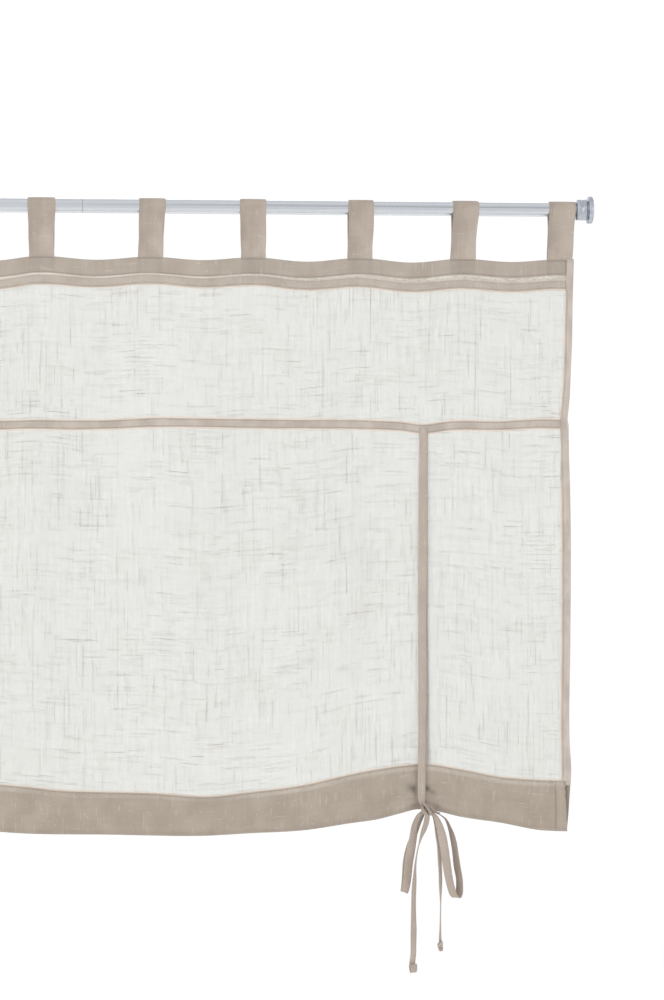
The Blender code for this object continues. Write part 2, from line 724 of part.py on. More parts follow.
def make_cap(name, sign, collection, material):
    """A turned end cap over the rod's end, with a collar, a groove and a flange."""
    section = bmesh.new()
    verts = [section.verts.new((radius, 0, height)) for radius, height in cap_profile()]
    for first, second in zip(verts, verts[1:]):
        section.edges.new((first, second))
    mesh = bpy.data.meshes.new(name)
    section.to_mesh(mesh)
    section.free()
    cap = add_object(name, mesh, collection, material)
    cap.location = (sign * CAP_MOUTH_X, 0, 0)
    cap.rotation_euler = (0, sign * math.pi / 2, 0)
    screw = cap.modifiers.new("turn", "SCREW")
    screw.steps = screw.render_steps = CAP_STEPS
    screw.use_merge_vertices = True
    screw.merge_threshold = 0.00001
    screw.use_smooth_shade = True
    return cap


def main():
    clear_scene()
    parts = new_collection("tie_up_blind")
    guides = new_collection("guides")
    guides.hide_render = True
    voile, taupe = new_material("voile"), new_material("taupe_cloth")
    rod_metal, cap_metal = new_material("rod_metal"), new_material("cap_metal")

    make_rod(parts, rod_metal)
    make_cap("end_cap_right", 1, parts, cap_metal)
    make_cap("end_cap_left", -1, parts, cap_metal)
    for number, tab in enumerate(TABS, start=1):
        make_tab(f"tab_{number}", tab, parts, taupe)
    make_panel(parts, voile)
    make_heading(parts, taupe)
    make_band(parts, taupe)
    make_side("side_binding_right", 1, parts, taupe)
    make_side("side_binding_left", -1, parts, taupe)
    make_hem(parts, taupe)
    make_tie("right", 1, parts, guides, taupe)
    make_tie("left", -1, parts, guides, taupe)


main()
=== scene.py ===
"""Looks of a roll-up curtain: a sheer white blind with taupe bands, on its silver rod.

The blind hangs by nine tabs and is drawn up a little at two pairs of tie tapes. Every cloth
piece is a grid of points worked out with numpy on one hanging surface, so that the layers keep
their distances, and it stands for the plain solid in the same place. Lengths are in metres.
The origin is the middle of the rod's axis, -Y is the front and +Z is up.
"""

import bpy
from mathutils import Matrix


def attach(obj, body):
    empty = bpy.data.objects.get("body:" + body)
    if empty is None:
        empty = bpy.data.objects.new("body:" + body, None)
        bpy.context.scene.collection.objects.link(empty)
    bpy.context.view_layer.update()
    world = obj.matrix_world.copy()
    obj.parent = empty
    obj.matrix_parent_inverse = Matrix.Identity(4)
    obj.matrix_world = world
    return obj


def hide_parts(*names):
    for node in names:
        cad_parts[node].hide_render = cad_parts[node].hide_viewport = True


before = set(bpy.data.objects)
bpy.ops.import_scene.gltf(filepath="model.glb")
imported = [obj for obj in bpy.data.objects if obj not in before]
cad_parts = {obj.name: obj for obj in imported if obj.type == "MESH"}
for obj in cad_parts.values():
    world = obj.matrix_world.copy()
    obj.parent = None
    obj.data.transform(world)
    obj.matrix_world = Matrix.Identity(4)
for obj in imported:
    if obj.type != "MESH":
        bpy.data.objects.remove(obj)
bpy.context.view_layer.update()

import logging
import math
from dataclasses import dataclass, field
from enum import Enum
from typing import NamedTuple

import bpy
import numpy as np

logging.basicConfig(level=logging.INFO, format="%(message)s")
log = logging.getLogger("blind")

Array = np.ndarray
Material = bpy.types.Material
Piece = bpy.types.Object
Socket = bpy.types.NodeSocket
Tone = tuple[int, int, int]
Place = tuple[float, float, float]

ROOT = "root"

# Driving sizes, shared by the pieces
ROD_RADIUS = 0.010
HALF_WIDTH = 0.600
SHARED_REACH = 0.560
TAB_FOOT_Z = -0.0706
TIE_X = 0.3845
KNOT = (0.3885, -0.0098, -0.8500)
UNSEEN_FROM_X = 0.260
END_GAP = 0.0003
BEAD_PROUD = 0.0001


class Tab(NamedTuple):
    """A tab: the middle and the width of its foot and of its top."""

    foot_x: float
    top_x: float
    foot_width: float
    top_width: float


class Span(NamedTuple):
    """The heading between two tabs: how far it sags and how far it leans out or in."""

    sag: float
    lean: float


class Fold(NamedTuple):
    """An upright fold of the whole cloth."""

    x: float
    half_width: float
    depth: float


class Crease(NamedTuple):
    """A soft trough, or a ridge where depth is negative, from one end to the other."""

    x_top: float
    z_top: float
    x_foot: float
    z_foot: float
    half_width: float
    depth: float

    def measure(self, x: Array, z: Array) -> tuple[Array, Array]:
        """The share of the way along it, and the distance across it.

        Args:
            x: places along the rod.
            z: heights.

        Returns:
            The dot product with its run over its squared length, and the cross product over it.
        """
        run_x, run_z = self.x_foot - self.x_top, self.z_foot - self.z_top
        length = math.hypot(run_x, run_z)
        along = ((x - self.x_top) * run_x + (z - self.z_top) * run_z) / length**2
        return along, ((x - self.x_top) * run_z - (z - self.z_top) * run_x) / length


class BandRow(NamedTuple):
    """A place on the middle line of the band across the blind."""

    x: float
    z: float


class SideRow(NamedTuple):
    """The outer and inner edges of a side binding at one height."""

    z: float
    outer: float
    inner: float


class HemRow(NamedTuple):
    """The hem's top and bottom edges at one place."""

    x: float
    top: float
    bottom: float


class TapeRow(NamedTuple):
    """A point of a tape's middle line, its width there and its turn in degrees.

    A turn of 0 faces the front and 90 is edge-on.
    """

    x: float
    y: float
    z: float
    width: float
    turn: float


class Side(Enum):
    """The two sides of the blind, with the sign of their x."""

    LEFT = -1
    RIGHT = 1

    @property
    def label(self) -> str:
        """The word for this side in a piece's name."""
        return self.name.lower()


class Face(Enum):
    """Which face of the cloth something lies on, with the sign of its y."""

    FRONT = -1
    BACK = 1


def table(kind: type, *rows: tuple[float, ...]) -> tuple:
    """The rows as records of one kind, whose fields name the columns."""
    return tuple(kind(*row) for row in rows)


SEEN_TABS = table(
    Tab,
    (-0.1535, -0.154, 0.035, 0.039),
    (-0.0015, 0.001, 0.035, 0.0375),
    (0.1435, 0.143, 0.0345, 0.0372),
    (0.294, 0.2955, 0.0355, 0.0362),
    (0.4405, 0.444, 0.036, 0.037),
    (0.579, 0.5822, 0.0365, 0.038),
)
SEEN_SPANS = table(
    Span,
    (0.0076, -0.0045),
    (0.0046, 0.003),
    (0.0046, -0.0035),
    (0.0052, 0.0038),
    (0.0062, -0.0048),
    (0.0038, 0.0026),
)
FOLDS = table(
    Fold,
    (-0.52, 0.05, 0.0045),
    (-0.455, 0.044, -0.005),
    (-0.275, 0.06, 0.0055),
    (-0.175, 0.045, -0.0052),
    (-0.07, 0.055, 0.006),
    (0.045, 0.05, -0.005),
    (0.135, 0.042, 0.0066),
    (0.225, 0.046, -0.0058),
    (0.305, 0.038, 0.004),
    (0.465, 0.048, -0.005),
    (0.54, 0.035, 0.004),
)
# Small creases, as uneven as on the real cloth: below the tabs, round the ties, at the sides
CREASES = table(
    Crease,
    (-0.573, -0.076, -0.561, -0.215, 0.009, -0.0018),
    (-0.434, -0.076, -0.42, -0.23, 0.011, -0.0022),
    (-0.452, -0.078, -0.466, -0.19, 0.008, 0.0015),
    (-0.292, -0.074, -0.303, -0.25, 0.012, -0.002),
    (-0.167, -0.074, -0.181, -0.21, 0.009, -0.002),
    (-0.143, -0.074, -0.128, -0.24, 0.011, -0.0018),
    (-0.013, -0.074, -0.026, -0.22, 0.01, -0.0019),
    (0.009, -0.076, 0.024, -0.18, 0.008, 0.0014),
    (0.133, -0.075, 0.121, -0.235, 0.01, -0.0021),
    (0.154, -0.075, 0.17, -0.2, 0.009, -0.0016),
    (0.285, -0.075, 0.27, -0.205, 0.009, -0.0018),
    (0.303, -0.075, 0.319, -0.26, 0.012, 0.0018),
    (0.434, -0.075, 0.419, -0.24, 0.01, -0.0022),
    (0.453, -0.075, 0.47, -0.2, 0.009, 0.0016),
    (0.57, -0.074, 0.556, -0.23, 0.01, -0.002),
    (0.368, -0.35, 0.362, -0.76, 0.0075, -0.0016),
    (0.402, -0.4, 0.407, -0.77, 0.008, -0.0018),
    (0.346, -0.6, 0.372, -0.8, 0.011, 0.0026),
    (0.3, -0.66, 0.362, -0.806, 0.013, -0.0022),
    (0.432, -0.62, 0.398, -0.802, 0.011, 0.0024),
    (0.486, -0.7, 0.408, -0.808, 0.013, -0.002),
    (0.33, -0.842, 0.374, -0.826, 0.007, 0.003),
    (0.44, -0.84, 0.398, -0.826, 0.007, 0.003),
    (0.372, -0.812, 0.378, -0.84, 0.006, 0.0026),
    (0.4, -0.812, 0.394, -0.84, 0.006, 0.0026),
    (0.572, -0.33, 0.56, -0.47, 0.009, 0.002),
    (0.566, -0.56, 0.572, -0.76, 0.01, -0.0018),
    (0.52, -0.42, 0.508, -0.64, 0.014, 0.0016),
    (0.236, -0.38, 0.247, -0.7, 0.015, 0.0018),
    (0.182, -0.35, 0.17, -0.56, 0.011, -0.0016),
    (0.085, -0.42, 0.092, -0.76, 0.014, 0.0016),
    (0.005, -0.35, -0.008, -0.6, 0.012, 0.0017),
    (-0.112, -0.38, -0.104, -0.7, 0.013, -0.0018),
    (-0.205, -0.36, -0.214, -0.64, 0.012, 0.0016),
    (-0.33, -0.42, -0.318, -0.72, 0.012, -0.0016),
    (-0.366, -0.36, -0.361, -0.77, 0.008, -0.0016),
    (-0.403, -0.38, -0.406, -0.76, 0.0075, -0.0017),
    (-0.342, -0.62, -0.371, -0.802, 0.012, 0.0026),
    (-0.428, -0.6, -0.398, -0.802, 0.011, 0.0023),
    (-0.478, -0.71, -0.408, -0.808, 0.013, -0.002),
    (-0.328, -0.842, -0.373, -0.826, 0.007, 0.003),
    (-0.442, -0.84, -0.398, -0.826, 0.007, 0.003),
    (-0.568, -0.35, -0.56, -0.52, 0.01, 0.0018),
    (-0.53, -0.5, -0.541, -0.74, 0.012, -0.0016),
)
# Painted shade in the dents and pulled creases in the hem beside the tie; depth is how dark it is
HEM_DENTS = table(
    Crease,
    (0.365, -0.8175, 0.3745, -0.8265, 0.0048, 0.85),
    (0.356, -0.813, 0.37, -0.823, 0.0065, 0.3),
    (0.387, -0.8175, 0.3915, -0.8245, 0.0036, 1.2),
    (0.392, -0.823, 0.403, -0.83, 0.0034, 0.55),
    (0.364, -0.8478, 0.379, -0.8415, 0.0018, 0.55),
    (0.396, -0.842, 0.411, -0.85, 0.0018, 0.5),
    (0.4, -0.836, 0.43, -0.844, 0.0022, 0.14),
    (0.356, -0.837, 0.374, -0.833, 0.0024, 0.16),
)
SEEN_BAND = table(
    BandRow,
    (-0.212, -0.308),
    (-0.16, -0.3067),
    (-0.121, -0.3074),
    (-0.051, -0.3062),
    (0.0, -0.3038),
    (0.068, -0.3041),
    (0.19, -0.3056),
    (0.308, -0.3064),
    (0.351, -0.3083),
    (0.384, -0.312),
    (0.422, -0.3075),
    (0.494, -0.3072),
    (0.551, -0.3042),
    (0.58, -0.3046),
)
SIDE = table(
    SideRow,
    (-0.8845, 0.5906, 0.58),
    (-0.861, 0.593, 0.582),
    (-0.825, 0.5953, 0.5835),
    (-0.804, 0.5966, 0.5838),
    (-0.754, 0.5943, 0.583),
    (-0.612, 0.5952, 0.5838),
    (-0.47, 0.5956, 0.5837),
    (-0.384, 0.594, 0.5824),
    (-0.327, 0.5919, 0.5813),
    (-0.305, 0.5906, 0.581),
    (-0.27, 0.5936, 0.5834),
    (-0.242, 0.5949, 0.586),
    (-0.199, 0.5968, 0.5874),
    (-0.114, 0.5985, 0.5884),
    (-0.07, 0.6, 0.5884),
)
SEEN_HEM = table(
    HemRow,
    (-0.212, -0.8113, -0.8771),
    (-0.174, -0.815, -0.8796),
    (-0.128, -0.8208, -0.8815),
    (-0.072, -0.8237, -0.8828),
    (0.0, -0.8254, -0.8843),
    (0.089, -0.8306, -0.885),
    (0.139, -0.8257, -0.883),
    (0.215, -0.8154, -0.8785),
    (0.273, -0.803, -0.8707),
    (0.323, -0.794, -0.864),
    (0.351, -0.7898, -0.8565),
    (0.376, -0.7876, -0.8508),
    (0.394, -0.7881, -0.852),
    (0.437, -0.7949, -0.8616),
    (0.494, -0.8063, -0.8706),
    (0.551, -0.8115, -0.8822),
    (0.59, -0.8131, -0.8846),
)
# The bow's tapes, measured from the knot
INNER_LOOP = table(
    TapeRow,
    (-0.003, -0.0028, -0.002, 0.004, 8),
    (-0.011, -0.0044, -0.007, 0.0065, 10),
    (-0.0178, -0.005, -0.02, 0.009, 25),
    (-0.02, -0.0045, -0.0362, 0.0115, 20),
    (-0.0232, -0.0035, -0.056, 0.012, 8),
    (-0.0262, -0.003, -0.0743, 0.012, 5),
    (-0.028, -0.003, -0.0933, 0.0115, 12),
    (-0.031, -0.0028, -0.111, 0.0112, 8),
    (-0.0324, 0.0005, -0.1165, 0.011, 6),
    (-0.031, 0.004, -0.111, 0.0112, 4),
    (-0.029, 0.0045, -0.0933, 0.012, 0),
    (-0.0276, 0.0055, -0.0743, 0.012, -8),
    (-0.024, 0.006, -0.056, 0.0115, -20),
    (-0.018, 0.0058, -0.0362, 0.01, -40),
    (-0.0118, 0.005, -0.02, 0.007, -30),
    (-0.0045, 0.0028, -0.0055, 0.004, -12),
)
OUTER_LOOP = table(
    TapeRow,
    (0.003, -0.0022, -0.002, 0.004, -10),
    (0.011, -0.0028, -0.0085, 0.0055, -16),
    (0.0168, -0.0025, -0.0213, 0.01, -24),
    (0.0209, -0.003, -0.0362, 0.012, -24),
    (0.0244, -0.003, -0.0552, 0.0125, -24),
    (0.0272, -0.003, -0.0743, 0.0125, -28),
    (0.0303, -0.0025, -0.0933, 0.0125, -34),
    (0.0344, -0.0016, -0.1115, 0.0122, -36),
    (0.0384, 0.0, -0.1217, 0.0124, -38),
    (0.0426, 0.003, -0.1252, 0.0126, -38),
    (0.0458, 0.0058, -0.1215, 0.0124, -40),
    (0.0469, 0.0064, -0.1115, 0.0122, -44),
    (0.0464, 0.0062, -0.099, 0.0122, -50),
    (0.0437, 0.006, -0.0838, 0.0125, -50),
    (0.0412, 0.006, -0.0648, 0.0125, -54),
    (0.038, 0.0055, -0.0457, 0.012, -56),
    (0.0325, 0.0048, -0.0267, 0.01, -66),
    (0.0252, 0.0035, -0.0128, 0.008, -78),
    (0.015, 0.0032, -0.006, 0.005, -96),
    (0.0045, 0.0026, -0.0018, 0.0035, -105),
)
LONG_TAIL = table(
    TapeRow,
    (0.0005, -0.0035, -0.003, 0.004, 10),
    (-0.0005, -0.0055, -0.009, 0.007, 18),
    (-0.0022, -0.0068, -0.018, 0.011, 40),
    (-0.0054, -0.0072, -0.027, 0.0125, 50),
    (-0.009, -0.0072, -0.037, 0.0125, 64),
    (-0.0142, -0.007, -0.0555, 0.0125, 80),
    (-0.0172, -0.0068, -0.0738, 0.0125, 74),
    (-0.019, -0.0066, -0.1, 0.0125, 60),
    (-0.0202, -0.0064, -0.139, 0.0125, 53),
    (-0.02, -0.0064, -0.17, 0.0125, 46),
    (-0.0203, -0.0064, -0.2, 0.0125, 46),
    (-0.0211, -0.0064, -0.2265, 0.012, 40),
    (-0.0204, -0.0073, -0.2288, 0.0121, 40),
    (-0.0196, -0.0083, -0.2265, 0.0124, 40),
    (-0.02, -0.0082, -0.2172, 0.0128, 38),
)
SHORT_TAIL = table(
    TapeRow,
    (0.0035, 0.003, -0.0035, 0.004, 20),
    (0.009, 0.004, -0.0085, 0.006, 40),
    (0.0128, 0.0052, -0.0205, 0.01, 55),
    (0.015, 0.0056, -0.036, 0.0125, 60),
    (0.0174, 0.0058, -0.0554, 0.0125, 62),
    (0.0186, 0.0058, -0.0738, 0.0125, 61),
    (0.0195, 0.0058, -0.102, 0.0125, 65),
    (0.0198, 0.0058, -0.139, 0.0125, 79),
    (0.0195, 0.0058, -0.1605, 0.0125, 80),
    (0.0191, 0.0058, -0.179, 0.01, 70),
    (0.0193, 0.0058, -0.192, 0.006, 50),
)
# Short turns of tape over the knot's front
KNOT_STRAP = table(
    TapeRow,
    (-0.0062, 0.0, 0.0085, 0.0034, 20),
    (-0.005, -0.005, 0.0086, 0.0036, 20),
    (-0.0016, -0.0078, 0.0052, 0.0042, 24),
    (0.0016, -0.0084, 0.0002, 0.0044, 26),
    (0.004, -0.007, -0.005, 0.0042, 26),
    (0.0046, -0.003, -0.0078, 0.0036, 24),
    (0.0038, 0.002, -0.0074, 0.003, 20),
)
KNOT_WING = table(
    TapeRow,
    (-0.003, -0.004, 0.0082, 0.003, -30),
    (0.0018, -0.0062, 0.0064, 0.0036, -35),
    (0.0062, -0.006, 0.0026, 0.0044, -40),
    (0.0098, -0.0044, -0.0016, 0.004, -45),
    (0.014, -0.003, -0.0036, 0.0034, -40),
    (0.0182, -0.002, -0.0052, 0.0034, -30),
)
KNOT_COLLAR = table(
    TapeRow,
    (-0.0034, 0.002, 0.006, 0.004, 10),
    (-0.0068, -0.003, 0.0042, 0.0046, 10),
    (-0.0066, -0.0064, -0.0002, 0.0052, 6),
    (-0.004, -0.007, -0.004, 0.005, 0),
    (-0.0006, -0.0052, -0.0066, 0.0046, 0),
    (0.0014, -0.001, -0.0072, 0.004, 0),
)
# The tapes on the blind: y is the distance from the hanging surface
FRONT_TAPE = table(
    TapeRow,
    (0.3845, -0.0014, -0.311, 0.0118, 0),
    (0.3845, -0.0016, -0.3185, 0.0118, 0),
    (0.3842, -0.0026, -0.35, 0.0122, 0),
    (0.3838, -0.0036, -0.47, 0.013, 2),
    (0.3826, -0.004, -0.58, 0.0116, -4),
    (0.3828, -0.0042, -0.68, 0.0118, 0),
    (0.382, -0.0048, -0.755, 0.011, 4),
    (0.3814, -0.0058, -0.79, 0.0113, 0),
    (0.3812, -0.0064, -0.82, 0.011, 0),
    (0.3812, -0.0072, -0.833, 0.0105, 0),
    (0.3816, -0.0084, -0.8395, 0.0084, 0),
    (0.3828, -0.0096, -0.8445, 0.0058, 0),
    (0.385, -0.0098, -0.8495, 0.0046, 0),
)
BACK_TAPE = table(
    TapeRow,
    (0.385, 0.0013, -0.315, 0.0115, 0),
    (0.385, 0.0013, -0.329, 0.0115, 0),
    (0.3852, 0.0032, -0.47, 0.012, 0),
    (0.386, 0.0034, -0.62, 0.012, 0),
    (0.3872, 0.0036, -0.72, 0.0122, 0),
    (0.3876, 0.0046, -0.77, 0.0122, 0),
    (0.3872, 0.006, -0.8, 0.0118, 0),
    (0.3868, 0.0062, -0.84, 0.011, 0),
    (0.3868, 0.005, -0.8528, 0.01, 0),
    (0.3872, 0.0022, -0.8562, 0.009, 0),
    (0.388, -0.0012, -0.856, 0.0075, 0),
    (0.3885, -0.0036, -0.8552, 0.006, 0),
)


def ramp(share: Array) -> Array:
    """A smooth rise from 0 to 1, flat below and above: 3 t^2 - 2 t^3.

    Args:
        share: where on the rise, 0 to 1.

    Returns:
        The height of the rise there.
    """
    share = np.clip(share, 0, 1)
    return share * share * (3 - 2 * share)


def bell(distance: Array) -> Array:
    """1 at 0 with a smooth fall on both sides: e to the minus distance squared."""
    return np.exp(-distance * distance)


def column(rows: tuple, name: str) -> list[float]:
    """The named measure of every row."""
    return [getattr(row, name) for row in rows]


def through(places: list[float], values: list[float], at: Array) -> Array:
    """A smooth cubic curve through (places, values), read at the places given.

    Args:
        places: where the values hold, rising.
        values: the values to pass through.
        at: where to read the curve.

    Returns:
        The curve's value at each place.
    """
    places, values = np.asarray(places, float), np.asarray(values, float)
    slopes = np.gradient(values, places)
    at = np.clip(at, places[0], places[-1])
    i = np.clip(np.searchsorted(places, at) - 1, 0, len(places) - 2)
    span = places[i + 1] - places[i]
    t = (at - places[i]) / span
    start = (1 + 2 * t) * (1 - t) ** 2 * values[i] + t * (1 - t) ** 2 * span * slopes[i]
    end = t * t * (3 - 2 * t) * values[i + 1] + t * t * (t - 1) * span * slopes[i + 1]
    return start + end


def with_unseen_side(rows: tuple) -> tuple:
    """The rows seen, with those past the left edge repeated from the right."""
    mirrored = [row._replace(x=-row.x) for row in reversed(rows) if row.x > UNSEEN_FROM_X]
    return (*mirrored, *rows)


TABS = (*(t._replace(foot_x=-t.foot_x, top_x=-t.top_x) for t in SEEN_TABS[:2:-1]), *SEEN_TABS)
SPANS = (SEEN_SPANS[5], SEEN_SPANS[4], *SEEN_SPANS)
BAND = with_unseen_side(SEEN_BAND)
HEM = with_unseen_side(SEEN_HEM)


@dataclass(frozen=True)
class HangingSurface:
    """The one surface that every layer of cloth follows."""

    lean_reach: float = 0.150
    fold_top_z: float = -0.100
    fold_growth: float = 0.330
    fold_left_at_hem: float = 0.75
    tie_flat_width: float = 0.034
    tie_growth: float = 0.120
    belly_depth: float = 0.0090
    belly_offset: float = 0.062
    belly_width: float = 0.036
    edge_curl: float = 0.0060
    edge_curl_width: float = 0.055
    ripple: float = 0.0005
    heading_height: float = 0.0372
    heading_gain: float = 0.0044
    heading_gain_x: float = 0.450

    def between_tabs(self, x: Array, name: str) -> Array:
        """A span's measure at x: sin squared of the way from tab to tab, times the measure."""
        feet = column(TABS, "foot_x")
        place = np.interp(x, feet, np.arange(len(feet)))
        span = np.minimum(place.astype(int), len(SPANS) - 1)
        return np.array(column(SPANS, name))[span] * np.sin(math.pi * place) ** 2

    def heading_top(self, x: Array) -> Array:
        """Height of the heading's top edge at x."""
        return TAB_FOOT_Z - self.between_tabs(x, "sag")

    def heading_foot(self, x: Array) -> Array:
        """Height of the heading's lower edge at x: the heading is deeper towards the sides."""
        gain = self.heading_gain * np.clip(np.abs(x) / self.heading_gain_x, 0, 1)
        return self.heading_top(x) - self.heading_height - gain

    def band_z(self, x: Array) -> Array:
        """Height of the cross band's middle line at x."""
        return through(column(BAND, "x"), column(BAND, "z"), x)

    def hem_top(self, x: Array) -> Array:
        """Height of the hem's top edge at x."""
        return through(column(HEM, "x"), column(HEM, "top"), x)

    def hem_bottom(self, x: Array) -> Array:
        """Height of the hem's bottom fold at x."""
        return through(column(HEM, "x"), column(HEM, "bottom"), x)

    def side(self, z: Array, name: str) -> Array:
        """Distance from the middle to the side binding's outer or inner edge at height z."""
        return through(column(SIDE, "z"), column(SIDE, name), z)

    def near_tie(self, x: Array, width: float) -> Array:
        """1 at a tie, with a smooth fall of this width on both sides."""
        return bell((np.abs(x) - TIE_X) / width)

    def creases(self, x: Array, z: Array) -> Array:
        """Depth of all the small creases at (x, z).

        Each is a bell across its line, times a smooth rise and fall along it.

        Args:
            x: places along the rod.
            z: heights.

        Returns:
            Their depths, added up.
        """
        total = np.zeros(np.broadcast(x, z).shape)
        for crease in CREASES:
            along, across = crease.measure(x, z)
            window = ramp(along / 0.3) * ramp((1 - along) / 0.3)
            total += crease.depth * bell(across / crease.half_width) * window
        return total

    def depth(self, x: Array, z: Array) -> Array:
        """The hanging surface's y at (x, z).

        A sum: upright folds, bells across x that grow below the heading, flatten at the ties
        and ease off at the hem; the heading's lean between its tabs; bellies on both sides of
        each tie; a curl back at the side edges; the small creases; and a faint slow ripple,
        the product of two sines.

        Args:
            x: places along the rod.
            z: heights.

        Returns:
            y of the surface, which is negative towards the front.
        """
        x, z = np.broadcast_arrays(np.asarray(x, float), np.asarray(z, float))
        folds = sum(fold.depth * bell((x - fold.x) / fold.half_width) for fold in FOLDS)
        grown = ramp((self.fold_top_z - z) / self.fold_growth)
        below_band = self.band_z(x) - z
        share = np.clip(below_band / (self.band_z(x) - self.hem_top(x)), 0, 1)
        eased = 1 - (1 - self.fold_left_at_hem) * share**3
        at_tie = self.near_tie(x, self.tie_flat_width)
        flattened = 1 - at_tie * ramp(below_band / self.tie_growth)
        lean = self.between_tabs(x, "lean") * bell((z - TAB_FOOT_Z) / self.lean_reach)
        beside_tie = bell((np.abs(np.abs(x) - TIE_X) - self.belly_offset) / self.belly_width)
        belly = self.belly_depth * beside_tie * np.sin(math.pi * share) ** 2
        at_edge = ramp(1 - (HALF_WIDTH - np.abs(x)) / self.edge_curl_width)
        curl = self.edge_curl * at_edge * ramp(below_band / -self.hem_top(x))
        wave = np.sin(41 * x + 9 * z + 0.7) * np.sin(17 * z - 13 * x)
        return (
            folds * grown * eased * flattened
            + lean
            + belly
            + curl
            + self.creases(x, z)
            + self.ripple * wave * grown
        )


def over_tabs(x: Array, softness: float) -> Array:
    """1 over a tab's foot and 0 beside it, with a smooth step of this width at its edges."""
    steps = [ramp((t.foot_width / 2 - np.abs(x - t.foot_x)) / softness + 0.5) for t in TABS]
    return np.max(steps, axis=0)


def joined(x: Array, y: Array, z: Array) -> Array:
    """Points whose last axis holds x, y and z."""
    return np.stack([x, y, z], axis=-1)


def fitted(station: Array, half_width: Array) -> Array:
    """A station's x on a piece of this half width: only the last stretch before an end moves."""
    past = np.maximum(np.abs(station) - SHARED_REACH, 0)
    room = (half_width - SHARED_REACH) / (HALF_WIDTH - SHARED_REACH)
    return np.sign(station) * (np.minimum(np.abs(station), SHARED_REACH) + past * room)


def stretches(knots: list[Array], at: Array) -> Array:
    """A value that runs from knot to knot: at 0 it is the first, at 1 the second, and so on.

    Args:
        knots: arrays of the same shape as at, or numbers.
        at: how many knots along each point is.

    Returns:
        The first knot plus each rise times the part of its stretch that at has passed.
    """
    value = knots[0]
    for number, (low, high) in enumerate(zip(knots, knots[1:])):
        value = value + np.clip(at - number, 0, 1) * (high - low)
    return value


@dataclass
class Grid:
    """A surface as a grid of points, with each point's place on the flat cloth and its marks.

    points is rows x columns x 3, place is rows x columns x 2 in metres, and each mark is
    rows x columns, from 0 to 1.
    """

    points: Array
    place: Array
    marks: dict[str, Array] = field(default_factory=dict)
    round_rows: bool = False
    round_columns: bool = False

    def faces(self) -> Array:
        """The four-cornered faces between neighbouring rows and columns, as point numbers.

        Returns:
            An array of four point numbers to a face.
        """
        rows, columns = self.points.shape[:2]
        row = np.arange(rows if self.round_rows else rows - 1)
        col = np.arange(columns if self.round_columns else columns - 1)
        r, c = (a.ravel() for a in np.meshgrid(row, col, indexing="ij"))
        next_r, next_c = (r + 1) % rows, (c + 1) % columns
        corners = ((r, c), (r, next_c), (next_r, next_c), (next_r, c))
        return np.stack([a * columns + b for a, b in corners], axis=1)


def build_mesh(
    name: str,
    points: Array,
    faces: Array,
    place: Array | None = None,
    marks: dict[str, Array] | None = None,
) -> Piece:
    """Puts arrays into a new mesh object.

    Args:
        name: the piece's name.
        points: n x 3 places in metres.
        faces: m x k point numbers, k corners to a face.
        place: n x 2 places on the flat cloth, kept as the UV map "cloth".
        marks: values of n points each, kept as attributes.

    Returns:
        The object, linked to the scene.
    """
    corners = faces.shape[1]
    mesh = bpy.data.meshes.new(name)
    mesh.vertices.add(len(points))
    mesh.vertices.foreach_set("co", points.astype(np.float32).ravel())
    mesh.loops.add(faces.size)
    mesh.loops.foreach_set("vertex_index", faces.astype(np.int32).ravel())
    mesh.polygons.add(len(faces))
    starts = np.arange(0, faces.size, corners, dtype=np.int32)
    mesh.polygons.foreach_set("loop_start", starts)
    mesh.update(calc_edges=True)
    if place is not None:
        layer = mesh.uv_layers.new(name="cloth")
        layer.data.foreach_set("uv", place[faces.ravel()].astype(np.float32).ravel())
    for mark, values in (marks or {}).items():
        attribute = mesh.attributes.new(mark, "FLOAT", "POINT")
        attribute.data.foreach_set("value", values.astype(np.float32).ravel())
    mesh.validate()
    mesh.shade_smooth()
    obj = bpy.data.objects.new(name, mesh)
    bpy.context.scene.collection.objects.link(obj)
    return obj


def build_grid(name: str, grid: Grid) -> Piece:
    """A mesh object from a grid of points."""
    flat_marks = {mark: values.ravel() for mark, values in grid.marks.items()}
    points, place = grid.points.reshape(-1, 3), grid.place.reshape(-1, 2)
    return build_mesh(name, points, grid.faces(), place, flat_marks)


def add_piece(
    obj: Piece,
    material: Material,
    stands_for: tuple[str, ...] = (),
    thickness: float = 0.0,
) -> Piece:
    """Gives a piece its material and thickness, and its place in the frame.

    Args:
        obj: the piece.
        material: its finish.
        stands_for: the solids that it replaces.
        thickness: the cloth's thickness, half on each side, or 0 for a closed form.

    Returns:
        The same piece.
    """
    obj.data.materials.append(material)
    if thickness:
        solid = obj.modifiers.new("thickness", "SOLIDIFY")
        solid.thickness = thickness
        solid.offset = 0
    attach(obj, ROOT)
    if stands_for:
        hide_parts(*stands_for)
    log.info("%s: %d points", obj.name, len(obj.data.vertices))
    return obj


def shown_colour(tone: Tone) -> tuple[float, ...]:
    """A display colour as the linear colour that a shader takes.

    Args:
        tone: red, green and blue, 0 to 255.

    Returns:
        Red, green, blue and an alpha of 1.
    """

    def linear(channel: int) -> float:
        """One channel: the display curve turned back."""
        share = channel / 255
        return share / 12.92 if share <= 0.04045 else ((share + 0.055) / 1.055) ** 2.4

    return (*map(linear, tone), 1.0)


